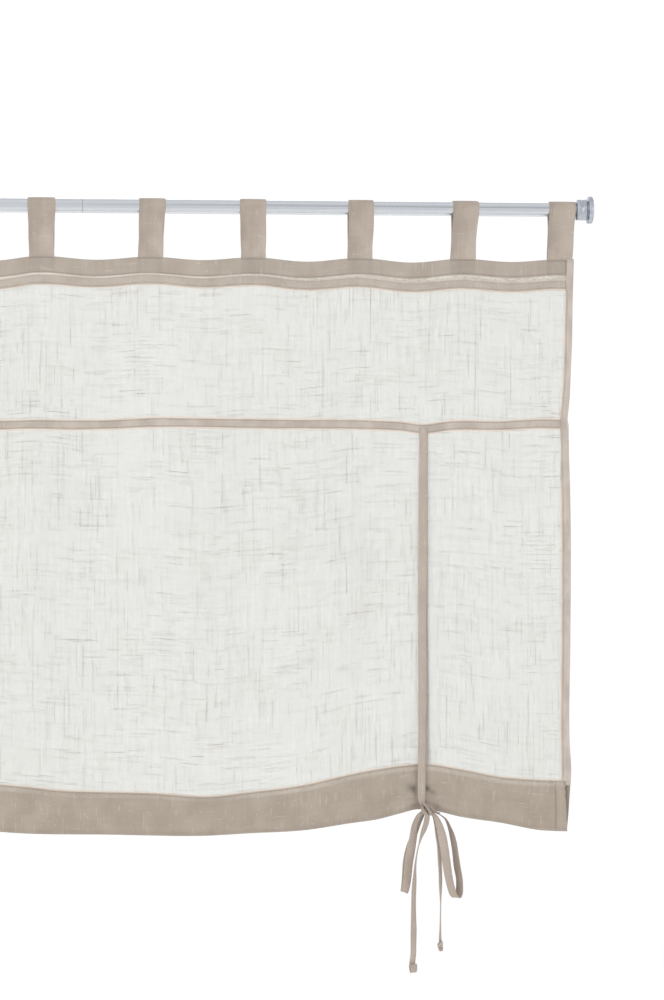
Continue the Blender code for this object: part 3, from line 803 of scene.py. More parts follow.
class NodeBench:
    """Short ways to add and join the nodes of one material or world."""

    def __init__(self, tree: bpy.types.NodeTree) -> None:
        """Takes a node tree and empties it."""
        self.tree = tree
        tree.nodes.clear()

    def add(self, kind: str, **settings: object) -> bpy.types.Node:
        """A new node of this kind, with its settings."""
        node = self.tree.nodes.new(kind)
        for name, value in settings.items():
            setattr(node, name, value)
        return node

    def feed(self, socket: Socket, value: object) -> None:
        """Links a socket to another, or sets its value."""
        if isinstance(value, Socket):
            self.tree.links.new(value, socket)
        else:
            socket.default_value = value

    def math(self, operation: str, first: object, second: object = 0.0) -> Socket:
        """The result of a sum of two numbers or sockets."""
        node = self.add("ShaderNodeMath", operation=operation)
        self.feed(node.inputs[0], first)
        self.feed(node.inputs[1], second)
        return node.outputs[0]

    def times(self, *factors: object) -> Socket:
        """The product of several numbers or sockets."""
        product = factors[0]
        for factor in factors[1:]:
            product = self.math("MULTIPLY", product, factor)
        return product

    def plus(self, *terms: object) -> Socket:
        """The sum of several numbers or sockets."""
        total = terms[0]
        for term in terms[1:]:
            total = self.math("ADD", total, term)
        return total

    def rise(self, value: object, low: float, high: float) -> Socket:
        """0 where the value is at low, 1 at high, smooth and clamped between."""
        node = self.add("ShaderNodeMapRange", interpolation_type="SMOOTHSTEP")
        self.feed(node.inputs["Value"], value)
        node.inputs["From Min"].default_value = low
        node.inputs["From Max"].default_value = high
        return node.outputs["Result"]

    def mark(self, name: str) -> Socket:
        """The value of a piece's own mark."""
        return self.add("ShaderNodeAttribute", attribute_name=name).outputs["Fac"]

    def cloth_place(self) -> Socket:
        """The place on the flat cloth, in metres."""
        return self.add("ShaderNodeUVMap", uv_map="cloth").outputs["UV"]

    def object_place(self) -> Socket:
        """The place in the object's own space, in metres."""
        return self.add("ShaderNodeTexCoord").outputs["Object"]

    def noise(
        self,
        place: Socket,
        per_metre: Place,
        shift: float = 0.0,
        detail: float = 1.0,
    ) -> Socket:
        """Noise from 0 to 1, with so many blobs a metre along each axis.

        Args:
            place: where it is read.
            per_metre: how fine it is along x, y and z.
            shift: moves it, so that two noises differ.
            detail: how many finer layers it holds.

        Returns:
            The noise's value.
        """
        mapping = self.add("ShaderNodeMapping")
        self.feed(mapping.inputs["Vector"], place)
        mapping.inputs["Scale"].default_value = per_metre
        mapping.inputs["Location"].default_value = (shift, shift * 0.7, shift * 1.3)
        node = self.add("ShaderNodeTexNoise")
        self.feed(node.inputs["Vector"], mapping.outputs["Vector"])
        node.inputs["Scale"].default_value = 1.0
        node.inputs["Detail"].default_value = detail
        return node.outputs["Fac"]

    def weave(self, place: Socket, pitch: float) -> Socket:
        """A plain weave's height: a sine across times a sine along, one thread a pitch.

        Args:
            place: the place on the cloth, in metres.
            pitch: the room that a thread takes.

        Returns:
            The height, from -1 to 1.
        """
        split = self.add("ShaderNodeSeparateXYZ")
        self.feed(split.inputs[0], place)
        waves = [
            self.math("SINE", self.times(split.outputs[axis], math.pi / pitch)) for axis in (0, 1)
        ]
        return self.times(*waves)

    def blend(self, share: object, first: object, second: object) -> Socket:
        """A colour between two: the first at 0 and the second at 1.

        Args:
            share: where between the two, 0 to 1.
            first: the colour at 0, a tone or a link.
            second: the colour at 1.

        Returns:
            The colour.
        """
        node = self.add("ShaderNodeMix", data_type="RGBA")
        self.feed(node.inputs["Factor"], share)
        colours = [socket for socket in node.inputs if socket.type == "RGBA"]
        for socket, colour in zip(colours, (first, second)):
            self.feed(socket, colour if isinstance(colour, Socket) else shown_colour(colour))
        return next(socket for socket in node.outputs if socket.type == "RGBA")

    def bump(self, height: object, strength: float, distance: float) -> Socket:
        """A normal bent by a height."""
        node = self.add("ShaderNodeBump")
        node.inputs["Strength"].default_value = strength
        node.inputs["Distance"].default_value = distance
        self.feed(node.inputs["Height"], height)
        return node.outputs["Normal"]

    def shader(self, kind: str, values: dict[str, object]) -> bpy.types.Node:
        """A shader node of this kind, with numbers, colours or links for its inputs."""
        node = self.add(f"ShaderNodeBsdf{kind}")
        for name, value in values.items():
            self.feed(node.inputs[name], value)
        return node

    def show(self, shader: Socket) -> None:
        """Makes this shader the material's surface."""
        self.feed(self.add("ShaderNodeOutputMaterial").inputs["Surface"], shader)

    def mix_shaders(self, share: object, first: object, second: object) -> Socket:
        """A shader between two: the first at 0 and the second at 1."""
        node = self.add("ShaderNodeMixShader")
        self.feed(node.inputs["Fac"], share)
        self.feed(node.inputs[1], first)
        self.feed(node.inputs[2], second)
        return node.outputs["Shader"]


def new_material(name: str) -> tuple[Material, NodeBench]:
    """An empty node material and its bench."""
    material = bpy.data.materials.new(name)
    material.use_nodes = True
    return material, NodeBench(material.node_tree)


class SlubRow(NamedTuple):
    """One kind of slub: pitch of its lines, length of its dashes, thickness, share, strength."""

    pitch: float
    length: float
    thickness: float
    share: float
    strength: float


WEFT_SLUBS = table(
    SlubRow,
    (0.0027, 0.06, 0.0009, 0.2, 0.6),
    (0.002, 0.038, 0.00085, 0.18, 0.46),
    (0.0071, 0.13, 0.00085, 0.3, 0.45),
)
WARP_SLUBS = table(
    SlubRow,
    (0.0034, 0.08, 0.0009, 0.22, 0.56),
    (0.0023, 0.05, 0.00085, 0.2, 0.45),
    (0.0083, 0.17, 0.00085, 0.34, 0.45),
)


@dataclass(frozen=True)
class VoileFinish:
    """Sheer white voile: an open weave with long slubs both ways, bunched in patches.

    It reads one mark, warm, where its edge shines through beside a taupe piece.
    """

    name: str = "white_voile"
    thread: Tone = (233, 233, 228)
    slub: Tone = (180, 180, 177)
    tan_slub: Tone = (190, 178, 165)
    bright: Tone = (252, 252, 250)
    warm: Tone = (253, 238, 225)
    openness: float = 0.42
    glow: float = 0.45
    tilt: float = 0.016

    def dashes(
        self,
        bench: NodeBench,
        along: Socket,
        across: Socket,
        row: SlubRow,
        seed: float,
        bunched: Socket,
    ) -> Socket:
        """Straight thin dashes on even lines, at most one to a cell.

        Each line is cut into cells from a random start. A cell's random numbers say whether
        it holds a dash, where the dash lies across the line, where it starts and ends, and
        how much it tilts.

        Args:
            bench: the material's bench.
            along: the place along the dashes, in metres.
            across: the place across them.
            row: the kind of slub.
            seed: makes this kind's random numbers its own.
            bunched: 1 in patches that hold more of them.

        Returns:
            0 on plain cloth and up to 1 on a dash.
        """
        line = bench.times(across, 1 / row.pitch)
        number = bench.math("FLOOR", line)
        start = bench.add("ShaderNodeTexWhiteNoise", noise_dimensions="1D")
        bench.feed(start.inputs["W"], bench.plus(number, seed + 0.5))
        way = bench.plus(bench.times(along, 1 / row.length), bench.times(start.outputs[0], 7.0))
        cell = bench.add("ShaderNodeCombineXYZ")
        bench.feed(cell.inputs[0], bench.plus(bench.math("FLOOR", way), 0.5))
        bench.feed(cell.inputs[1], bench.plus(number, 0.5))
        cell.inputs[2].default_value = seed
        chance = bench.add("ShaderNodeTexWhiteNoise", noise_dimensions="3D")
        bench.feed(chance.inputs["Vector"], cell.outputs[0])
        lot = bench.add("ShaderNodeSeparateColor")
        bench.feed(lot.inputs[0], chance.outputs["Color"])
        first, second, third = lot.outputs[0], lot.outputs[1], lot.outputs[2]
        within = bench.math("FRACT", way)
        slope = bench.times(bench.math("SUBTRACT", third, 0.5), self.tilt * row.length / row.pitch)
        centre = bench.plus(0.3, bench.times(second, 0.4), bench.times(slope, within))
        far = bench.math("ABSOLUTE", bench.math("SUBTRACT", bench.math("FRACT", line), centre))
        half = row.thickness / row.pitch / 2
        thin = bench.math("SUBTRACT", 1.0, bench.rise(far, half * 0.5, half * 1.25))
        begin = bench.rise(bench.math("SUBTRACT", within, bench.times(third, 0.35)), 0.0, 0.08)
        to_end = bench.math("SUBTRACT", bench.math("SUBTRACT", 1.0, bench.times(second, 0.35)), within)
        finish = bench.rise(to_end, 0.0, 0.08)
        weighed = bench.plus(first, bench.times(bunched, row.share * 0.55))
        there = bench.rise(weighed, 1.0 - row.share, 1.0 - row.share * 0.45)
        strength = bench.times(bench.plus(0.35, bench.times(second, 0.65)), row.strength)
        return bench.times(thin, begin, finish, there, strength)

    def slubs(
        self, bench: NodeBench, place: Socket, rows: tuple[SlubRow, ...], warp: bool
    ) -> Socket:
        """All the kinds of slub one way, added up.

        Args:
            bench: the material's bench.
            place: the place on the cloth.
            rows: the kinds of slub.
            warp: True where they run up the cloth, False where they run across it.

        Returns:
            0 on plain cloth and about 1 on a slub.
        """
        split = bench.add("ShaderNodeSeparateXYZ")
        bench.feed(split.inputs[0], place)
        along, across = (split.outputs[1], split.outputs[0]) if warp else split.outputs[:2]
        shift = 7.3 if warp else 2.1
        bunched = bench.rise(bench.noise(place, (9, 14, 1.0), shift, 2.0), 0.44, 0.60)
        kinds = [
            self.dashes(bench, along, across, row, 10 * shift + 3 * number, bunched)
            for number, row in enumerate(rows)
        ]
        return bench.plus(*kinds)

    def straightened(self, bench: NodeBench) -> Socket:
        """The place on the cloth, with its weft wandering up and down by a few millimetres.

        Args:
            bench: the material's bench.

        Returns:
            The shifted place.
        """
        place = bench.cloth_place()
        wander = bench.math("SUBTRACT", bench.noise(place, (5.0, 2.0, 1.0), 4.0), 0.5)
        shift = bench.add("ShaderNodeCombineXYZ")
        bench.feed(shift.inputs[0], bench.times(wander, 0.004))
        bench.feed(shift.inputs[1], bench.times(wander, 0.003))
        bent = bench.add("ShaderNodeVectorMath", operation="ADD")
        bench.feed(bent.inputs[0], place)
        bench.feed(bent.inputs[1], shift.outputs[0])
        return bent.outputs[0]

    def material(self) -> Material:
        """Threads that scatter and pass light, mixed with clear gaps between them.

        Returns:
            The voile's material.
        """
        material, bench = new_material(self.name)
        place = self.straightened(bench)
        weft = self.slubs(bench, place, WEFT_SLUBS, warp=False)
        warp = self.slubs(bench, place, WARP_SLUBS, warp=True)
        yarn = bench.math("MINIMUM", bench.plus(weft, warp), 1.3)
        streaks = bench.rise(bench.noise(place, (420, 17, 1.0), 21.0), 0.50, 0.70)
        across = bench.rise(bench.noise(place, (19, 430, 1.0), 23.0), 0.54, 0.72)
        lines = bench.plus(
            bench.times(bench.math("SUBTRACT", bench.noise(place, (390, 6, 1.0), 31.0), 0.5), 0.22),
            bench.times(bench.math("SUBTRACT", bench.noise(place, (6, 410, 1.0), 37.0), 0.5), 0.22),
        )
        cloudy = bench.math("SUBTRACT", bench.noise(place, (5.0, 3.5, 1.0), 1.5, 2.0), 0.5)
        tan = bench.rise(bench.noise(place, (11, 9, 1.0), 27.0), 0.50, 0.62)
        slub = bench.blend(tan, self.slub, self.tan_slub)
        light = bench.plus(bench.times(streaks, 0.20), bench.times(across, 0.14), lines)
        light = bench.math("MAXIMUM", light, 0.0)
        colour = bench.blend(light, self.thread, self.bright)
        colour = bench.blend(bench.math("MINIMUM", yarn, 1.0), colour, slub)
        warm = bench.times(bench.mark("warm"), 0.85)
        colour = bench.blend(warm, colour, self.warm)
        matt = {"Roughness": 0.85, "Specular IOR Level": 0.15, "Sheen Weight": 0.15}
        relief = bench.bump(streaks, 0.10, 0.0003)
        front = bench.shader("Principled", {"Base Color": colour, "Normal": relief, **matt})
        through_it = bench.shader("Translucent", {"Color": colour})
        clear = bench.add("ShaderNodeBsdfTransparent")
        threads = bench.mix_shaders(self.glow, front.outputs[0], through_it.outputs[0])
        closed_up = bench.plus(bench.times(yarn, 0.30), bench.times(cloudy, 0.10), warm)
        gaps = bench.math("MAXIMUM", bench.math("SUBTRACT", self.openness, closed_up), 0.03)
        output = bench.add("ShaderNodeOutputMaterial")
        bench.feed(output.inputs["Surface"], bench.mix_shaders(gaps, threads, clear.outputs[0]))
        return material


@dataclass(frozen=True)
class LinenFinish:
    """Taupe cloth with a linen look: uneven threads both ways and scattered pale slubs.

    It reads four marks. pale is a painted glow where a single layer lets light through, and on a tab
    it paints the lower right lighter. shade is painted shade where layers lie behind or a dent is.
    edge is a lighter line along a folded or stitched edge, a painted highlight on the fold. seam runs
    along a row of stitches, which it breaks into dots.
    """

    name: str
    base: Tone
    dark: Tone
    light: Tone
    cream: Tone = (248, 241, 230)
    glow: float = 0.12
    weave_pitch: float = 0.0011
    stitch_pitch: float = 0.0033

    def threads(self, bench: NodeBench, place: Socket) -> Socket:
        """The uneven yarns both ways and slow patches, from 0 to 1."""
        warp = bench.noise(place, (310, 13, 1.0), 1.0, 2.0)
        weft = bench.noise(place, (15, 290, 1.0), 6.0, 2.0)
        patches = bench.noise(place, (34, 27, 1.0), 3.0, 2.0)
        terms = bench.times(warp, 0.18), bench.times(weft, 0.12), bench.times(patches, 0.70)
        return bench.rise(bench.plus(*terms), 0.36, 0.64)

    def flecks(self, bench: NodeBench, place: Socket) -> Socket:
        """Pale slubs: upright ones, some lying ones and small specks."""
        upright = bench.rise(bench.noise(place, (430, 44, 1.0), 11.0), 0.660, 0.730)
        lying = bench.rise(bench.noise(place, (34, 470, 1.0), 14.0), 0.680, 0.740)
        specks = bench.rise(bench.noise(place, (240, 330, 1.0), 41.0), 0.690, 0.750)
        parts = bench.times(upright, 0.6), bench.times(lying, 0.5), bench.times(specks, 0.7)
        return bench.math("MINIMUM", bench.plus(*parts), 1.0)

    def stitch_dots(self, bench: NodeBench, place: Socket) -> Socket:
        """Dark needle holes along a seam: a sine of the way along it, one turn a stitch."""
        split = bench.add("ShaderNodeSeparateXYZ")
        bench.feed(split.inputs[0], place)
        way = bench.plus(split.outputs[0], split.outputs[1])
        wave = bench.math("SINE", bench.times(way, 2 * math.pi / self.stitch_pitch))
        return bench.times(bench.mark("seam"), bench.rise(wave, 0.0, 0.8))

    def material(self) -> Material:
        """Colour from thread noises and the marks, with a weave and slubs as bump.

        Returns:
            The cloth's material.
        """
        material, bench = new_material(self.name)
        place = bench.cloth_place()
        threads = self.threads(bench, place)
        flecks = self.flecks(bench, place)
        colour = bench.blend(threads, self.dark, self.base)
        colour = bench.blend(bench.times(flecks, 0.75), colour, self.light)
        blotches = bench.rise(bench.noise(place, (150, 300, 1.0), 17.0, 2.0), 0.32, 0.58)
        slow = bench.rise(bench.noise(place, (21, 60, 1.0), 9.0, 2.0), 0.36, 0.60)
        share = bench.plus(0.22, bench.times(blotches, 0.45), bench.times(slow, 0.33))
        # Painted glow: the pale mark, in patches, blends towards cream
        thin = bench.times(bench.mark("pale"), share)
        colour = bench.blend(thin, colour, self.cream)
        # Painted highlight: lighter along folded and stitched edges
        edge = bench.times(bench.mark("edge"), 0.5)
        colour = bench.blend(edge, colour, self.light)
        depth = bench.plus(bench.mark("shade"), bench.times(self.stitch_dots(bench, place), 0.40))
        shade = bench.math("SUBTRACT", 1.0, bench.times(depth, 0.5))
        grey = bench.add("ShaderNodeCombineColor")
        for socket in grey.inputs:
            bench.feed(socket, shade)
        darker = bench.add("ShaderNodeMix", data_type="RGBA", blend_type="MULTIPLY")
        colours = [socket for socket in darker.inputs if socket.type == "RGBA"]
        bench.feed(darker.inputs["Factor"], 1.0)
        bench.feed(colours[0], colour)
        bench.feed(colours[1], grey.outputs[0])
        colour = next(socket for socket in darker.outputs if socket.type == "RGBA")
        weave = bench.weave(place, self.weave_pitch)
        height = bench.plus(bench.times(weave, 0.04), bench.times(threads, 0.3), flecks)
        matt = {"Roughness": 0.88, "Specular IOR Level": 0.2}
        sheen = {"Sheen Weight": 0.12, "Sheen Roughness": 0.5}
        relief = bench.bump(height, 0.20, 0.0003)
        inputs = {"Base Color": colour, "Normal": relief, **matt, **sheen}
        front = bench.shader("Principled", inputs)
        through_it = bench.shader("Translucent", {"Color": colour})
        bench.show(bench.mix_shaders(self.glow, front.outputs[0], through_it.outputs[0]))
        return material


@dataclass(frozen=True)
class ThreadFinish:
    """Matt sewing thread, a shade darker than the cloth."""

    name: str = "sewing_thread"
    colour: Tone = (124, 110, 96)
    shadow: Tone = (98, 84, 70)

    def material(self) -> Material:
        """Twisted thread: fine noise over one colour.

        Returns:
            The thread's material.
        """
        material, bench = new_material(self.name)
        fibres = bench.noise(bench.object_place(), (2600, 2600, 2600), 0.0, 1.0)
        colour = bench.blend(fibres, self.shadow, self.colour)
        shader = bench.shader("Principled", {"Base Color": colour, "Roughness": 0.7})
        bench.show(shader.outputs[0])
        return material


@dataclass(frozen=True)
class MetalFinish:
    """Silver metal with faint drawing lines along the rod and small rubbed patches.

    It reads one mark, groove, which darkens the colour. On the rod it marks the dark joint line, the
    seam lines (partly painted reflection) and painted reflection bands. On the caps it is painted
    shade in the groove under the flange.
    """

    name: str
    bright: Tone
    dull: Tone
    roughness: float
    lines: Place
    bump: float
    grime: Tone = (128, 132, 140)

    def material(self) -> Material:
        """Metal whose colour, roughness and height follow stretched noise.

        Returns:
            The metal's material.
        """
        material, bench = new_material(self.name)
        place = bench.object_place()
        drawn = bench.noise(place, self.lines, 1.0, 2.0)
        rubbed = bench.noise(place, (38, 120, 120), 5.0, 2.0)
        wear = bench.plus(bench.times(drawn, 0.6), bench.times(rubbed, 0.4))
        worn = bench.rise(wear, 0.34, 0.62)
        colour = bench.blend(worn, self.dull, self.bright)
        # groove: the dark joint line, painted reflection on the rod and painted shade in the cap's
        # groove
        colour = bench.blend(bench.mark("groove"), colour, self.grime)
        rough = bench.plus(self.roughness - 0.03, bench.times(wear, 0.06))
        inputs = {"Base Color": colour, "Metallic": 1.0, "Roughness": rough}
        shader = bench.shader("Principled", inputs)
        if self.bump:
            bench.feed(shader.inputs["Normal"], bench.bump(drawn, self.bump, 0.0001))
        bench.show(shader.outputs[0])
        return material


@dataclass(frozen=True)
class Wardrobe:
    """All the finishes, made once."""

    voile: Material
    heading: Material
    hem: Material
    tab: Material
    side: Material
    tape: Material
    thread: Material
    rod: Material
    cap: Material

    @classmethod
    def make(cls) -> "Wardrobe":
        """Builds every material, each linen from its base, dark and light colours.

        Returns:
            The finishes.
        """
        linens = {
            "heading": ((196, 184, 171), (186, 173, 160), (217, 207, 194)),
            "hem": ((190, 177, 163), (179, 166, 152), (212, 202, 187)),
            "tab": ((200, 186, 173), (187, 172, 159), (218, 206, 193)),
            # The side tones are lighter, partly as painted light shining through the binding
            "side": ((218, 207, 196), (201, 189, 177), (228, 219, 208)),
            "tape": ((201, 187, 175), (193, 179, 167), (222, 211, 199)),
        }
        made = {use: LinenFinish(f"taupe_{use}", *tones).material() for use, tones in linens.items()}
        rod = MetalFinish("rod_silver", (231, 234, 238), (224, 228, 233), 0.24, (3, 700, 700), 0.0)
        cap = MetalFinish("cap_silver", (204, 208, 216), (182, 187, 195), 0.42, (420, 160, 160), 0.01)
        made.update(rod=rod.material(), cap=cap.material())
        return cls(voile=VoileFinish().material(), thread=ThreadFinish().material(), **made)


@dataclass(frozen=True)
class Stitching:
    """Rows of small stitches: each a bead drawn out along its seam."""

    pitch: float = 0.0033
    half_length: float = 0.00066
    half_width: float = 0.00040
    half_height: float = 0.00020
    around: int = 6
    along: int = 3

    def bead(self) -> tuple[Array, Array]:
        """One stitch: rings of points whose radius is the sine of the way along, and faces.

        Returns:
            The points, and three point numbers to a face.
        """
        turn = np.linspace(0, 2 * math.pi, self.around, endpoint=False)
        way = np.linspace(0, math.pi, self.along + 2)[1:-1]
        ring, spin = np.meshgrid(way, turn, indexing="ij")
        body = np.stack(
            [
                -self.half_length * np.cos(ring),
                self.half_width * np.sin(ring) * np.cos(spin),
                self.half_height * np.sin(ring) * np.sin(spin),
            ],
            axis=-1,
        ).reshape(-1, 3)
        ends = np.array([[-self.half_length, 0, 0], [self.half_length, 0, 0]])
        first, last = len(body), len(body) + 1
        k = np.arange(self.around)
        after = (k + 1) % self.around
        top = (self.along - 1) * self.around
        faces = [np.stack([np.full_like(k, first), after, k], axis=1)]
        for row in range(self.along - 1):
            a, b = row * self.around + k, row * self.around + after
            c, d = a + self.around, b + self.around
            faces += [np.stack([a, b, d], axis=1), np.stack([a, d, c], axis=1)]
        faces.append(np.stack([np.full_like(k, last), top + k, top + after], axis=1))
        return np.vstack([body, ends]), np.vstack(faces)

    def sew(
        self, name: str, paths: list[Array], face: Face, material: Material
    ) -> Piece:
        """Stitches at even steps along each path, joined into one piece.

        Args:
            name: the piece's name.
            paths: arrays of n x 3 points on the cloth's face.
            face: the side of the cloth that the stitches stand on.
            material: the thread.

        Returns:
            The piece.
        """
        centres, runs = [], []
        for path in paths:
            steps = np.linalg.norm(np.diff(path, axis=0), axis=1)
            far = np.concatenate([[0], np.cumsum(steps)])
            at = np.arange(self.pitch / 2, far[-1], self.pitch)
            centre = np.stack([np.interp(at, far, path[:, i]) for i in range(3)], axis=1)
            ahead = np.stack([np.interp(at + 0.001, far, path[:, i]) for i in range(3)], axis=1)
            behind = np.stack([np.interp(at - 0.001, far, path[:, i]) for i in range(3)], axis=1)
            centres.append(centre)
            runs.append(ahead - behind)
        centre, run = np.vstack(centres), np.vstack(runs)
        run /= np.linalg.norm(run, axis=1, keepdims=True)
        out = np.tile([0.0, float(face.value), 0.0], (len(run), 1))
        sideways = np.cross(out, run)
        sideways /= np.linalg.norm(sideways, axis=1, keepdims=True)
        out = np.cross(run, sideways)
        bead, faces = self.bead()
        points = (
            centre[:, None, :]
            + bead[None, :, 0:1] * run[:, None, :]
            + bead[None, :, 1:2] * sideways[:, None, :]
            + bead[None, :, 2:3] * out[:, None, :]
        )
        offsets = np.arange(len(centre))[:, None, None] * len(bead)
        all_faces = (faces[None] + offsets).reshape(-1, 3)
        obj = build_mesh(name, points.reshape(-1, 3), all_faces)
        return add_piece(obj, material)


@dataclass(frozen=True)
class Rod:
    """The silver rod: a tube with one fine seam along it and a joint line round it."""

    half_length: float = 0.6130
    sides: int = 144
    seam_angle: float = 0.12
    seam_width: float = 0.036
    seam_depth: float = 0.00016
    line_apart: float = 0.30
    joint_x: float = -0.0965
    joint_width: float = 0.0006
    joint_depth: float = 0.00012
    # Seam lines: darkened by the real groove and by painted reflection, which grows to the right
    seam_tone: float = 0.22
    seam_tone_gain: float = 0.26
    under_tone: float = 0.26
    above_tone: float = 0.14
    middle_tone: float = 0.26

    def build(self, wardrobe: Wardrobe) -> Piece:
        """The tube: a circle carried along x, less a bell-shaped groove at the seam and joint.

        Its ends are drawn in to a point, hidden in the caps. Soft lengthwise bands of painted
        reflection darken it: below, near the top and, to the right, above the middle.

        Args:
            wardrobe: the finishes.

        Returns:
            The tube.
        """
        near_joint = self.joint_x + self.joint_width * np.linspace(-3, 3, 13)
        even = np.linspace(-self.half_length, self.half_length, 60)
        x = np.sort(np.concatenate([even, near_joint]))
        x = np.concatenate([[x[0]], x, [x[-1]]])
        angle = np.linspace(0, 2 * math.pi, self.sides, endpoint=False)
        x, angle = np.meshgrid(x, angle, indexing="ij")
        from_seam = np.angle(np.exp(1j * (angle - self.seam_angle)))
        radius = (
            ROD_RADIUS
            - self.seam_depth * bell(from_seam / self.seam_width)
            - self.joint_depth * bell((x - self.joint_x) / self.joint_width)
        )
        radius[0], radius[-1] = 1e-5, 1e-5
        points = joined(x, -radius * np.cos(angle), radius * np.sin(angle))
        place = np.stack([x, ROD_RADIUS * angle], axis=-1)
        # Painted reflection: a dark line over the seam's groove and a second one beside it with no
        # groove, both darker to the right
        second = np.angle(np.exp(1j * (angle - self.seam_angle + self.line_apart)))
        lines = bell(from_seam / self.seam_width) + 0.6 * bell(second / self.seam_width)
        seam = lines * (self.seam_tone + self.seam_tone_gain * ramp((x + 0.1) / 0.6))
        joint = 0.5 * bell((x - self.joint_x) / self.joint_width)
        # Painted reflection bands: darker below, near the top and, to the right, above the middle
        height = np.angle(np.exp(1j * angle))
        under = self.under_tone * bell((height + 0.66) / 0.36)
        above = self.above_tone * bell((height - 0.95) / 0.20)
        middle = ramp((height + 0.10) / 0.36) * ramp((0.44 - height) / 0.10)
        middle = self.middle_tone * middle * ramp((x + 0.25) / 0.5)
        marks = {"groove": np.maximum(seam, joint) + under + above + middle}
        obj = build_grid("rod_tube", Grid(points, place, marks, round_columns=True))
        return add_piece(obj, wardrobe.rod, ("rod",))


@dataclass(frozen=True)
class EndCap:
    """A turned cap: a collar, a groove and a round-edged flange with a shallow dish."""

    side: Side
    mouth_x: float = 0.6030
    face_x: float = 0.6260
    collar_radius: float = 0.0148
    groove_radius: float = 0.0132
    flange_radius: float = 0.0194
    flange_thickness: float = 0.0068
    round_off: float = 0.0022
    sides: int = 96

    def profile(self) -> Array:
        """The section from the middle of the outer face round to the middle of the bore's floor.

        Each row is (radius, height above the mouth); the rim's corners are quarter circles.

        Returns:
            Rows of radius and height.
        """
        face = self.face_x - self.mouth_x
        flange, rim = self.flange_radius, self.round_off
        under = face - self.flange_thickness
        collar, groove = self.collar_radius, self.groove_radius
        bore = ROD_RADIUS + 0.0003
        quarter = np.linspace(math.pi / 2, 0, 9)
        corner = np.stack(
            [flange - rim + rim * np.cos(quarter), face - rim + rim * np.sin(quarter)], axis=1
        )
        small = np.linspace(0, -math.pi / 2, 6)
        back_corner = np.stack(
            [flange - 0.001 + 0.001 * np.cos(small), under + 0.001 + 0.001 * np.sin(small)], axis=1
        )
        dish = [(1e-5, face - 0.0005), (0.0090, face - 0.0005), (0.0120, face - 0.0003)]
        dish += [(0.0132, face), (0.0150, face)]
        neck = [
            (groove + 0.0012, under),
            (groove + 0.0003, under - 0.0002),
            (groove, under - 0.0006),
            (groove, under - 0.0016),
            (groove + 0.0004, under - 0.0021),
            (collar - 0.0004, under - 0.0023),
            (collar, under - 0.0028),
            (collar, 0.0105),
            (collar - 0.00018, 0.0101),
            (collar - 0.00018, 0.0096),
            (collar, 0.0092),
            (collar, 0.0010),
            (collar - 0.0003, 0.0003),
            (collar - 0.0010, 0.0),
            (bore + 0.0004, 0.0),
            (bore, 0.0004),
            (bore, 0.0098),
            (1e-5, 0.0098),
        ]
        return np.vstack([dish, corner, back_corner, neck])

    def build(self, wardrobe: Wardrobe) -> Piece:
        """The section turned round the rod's axis.

        Args:
            wardrobe: the finishes.

        Returns:
            The cap.
        """
        section = self.profile()
        angle = np.linspace(0, 2 * math.pi, self.sides, endpoint=False)
        radius, turn = np.meshgrid(section[:, 0], angle, indexing="ij")
        height = np.repeat(section[:, 1:2], self.sides, axis=1)
        sign = self.side.value
        x = sign * (self.mouth_x + height)
        points = joined(x, sign * radius * np.cos(turn), radius * np.sin(turn))
        place = np.stack([height, ROD_RADIUS * turn], axis=-1)
        under = self.face_x - self.mouth_x - self.flange_thickness
        # Painted shade in the groove under the flange
        groove = 0.8 * bell((height - under + 0.0011) / 0.0010) * (radius < self.collar_radius)
        grid = Grid(points, place, {"groove": groove}, round_columns=True)
        obj = build_grid(f"cap_{self.side.label}", grid)
        obj.data.set_sharp_from_angle(angle=math.radians(38))
        return add_piece(obj, wardrobe.cap, (f"end_cap_{self.side.label}",))


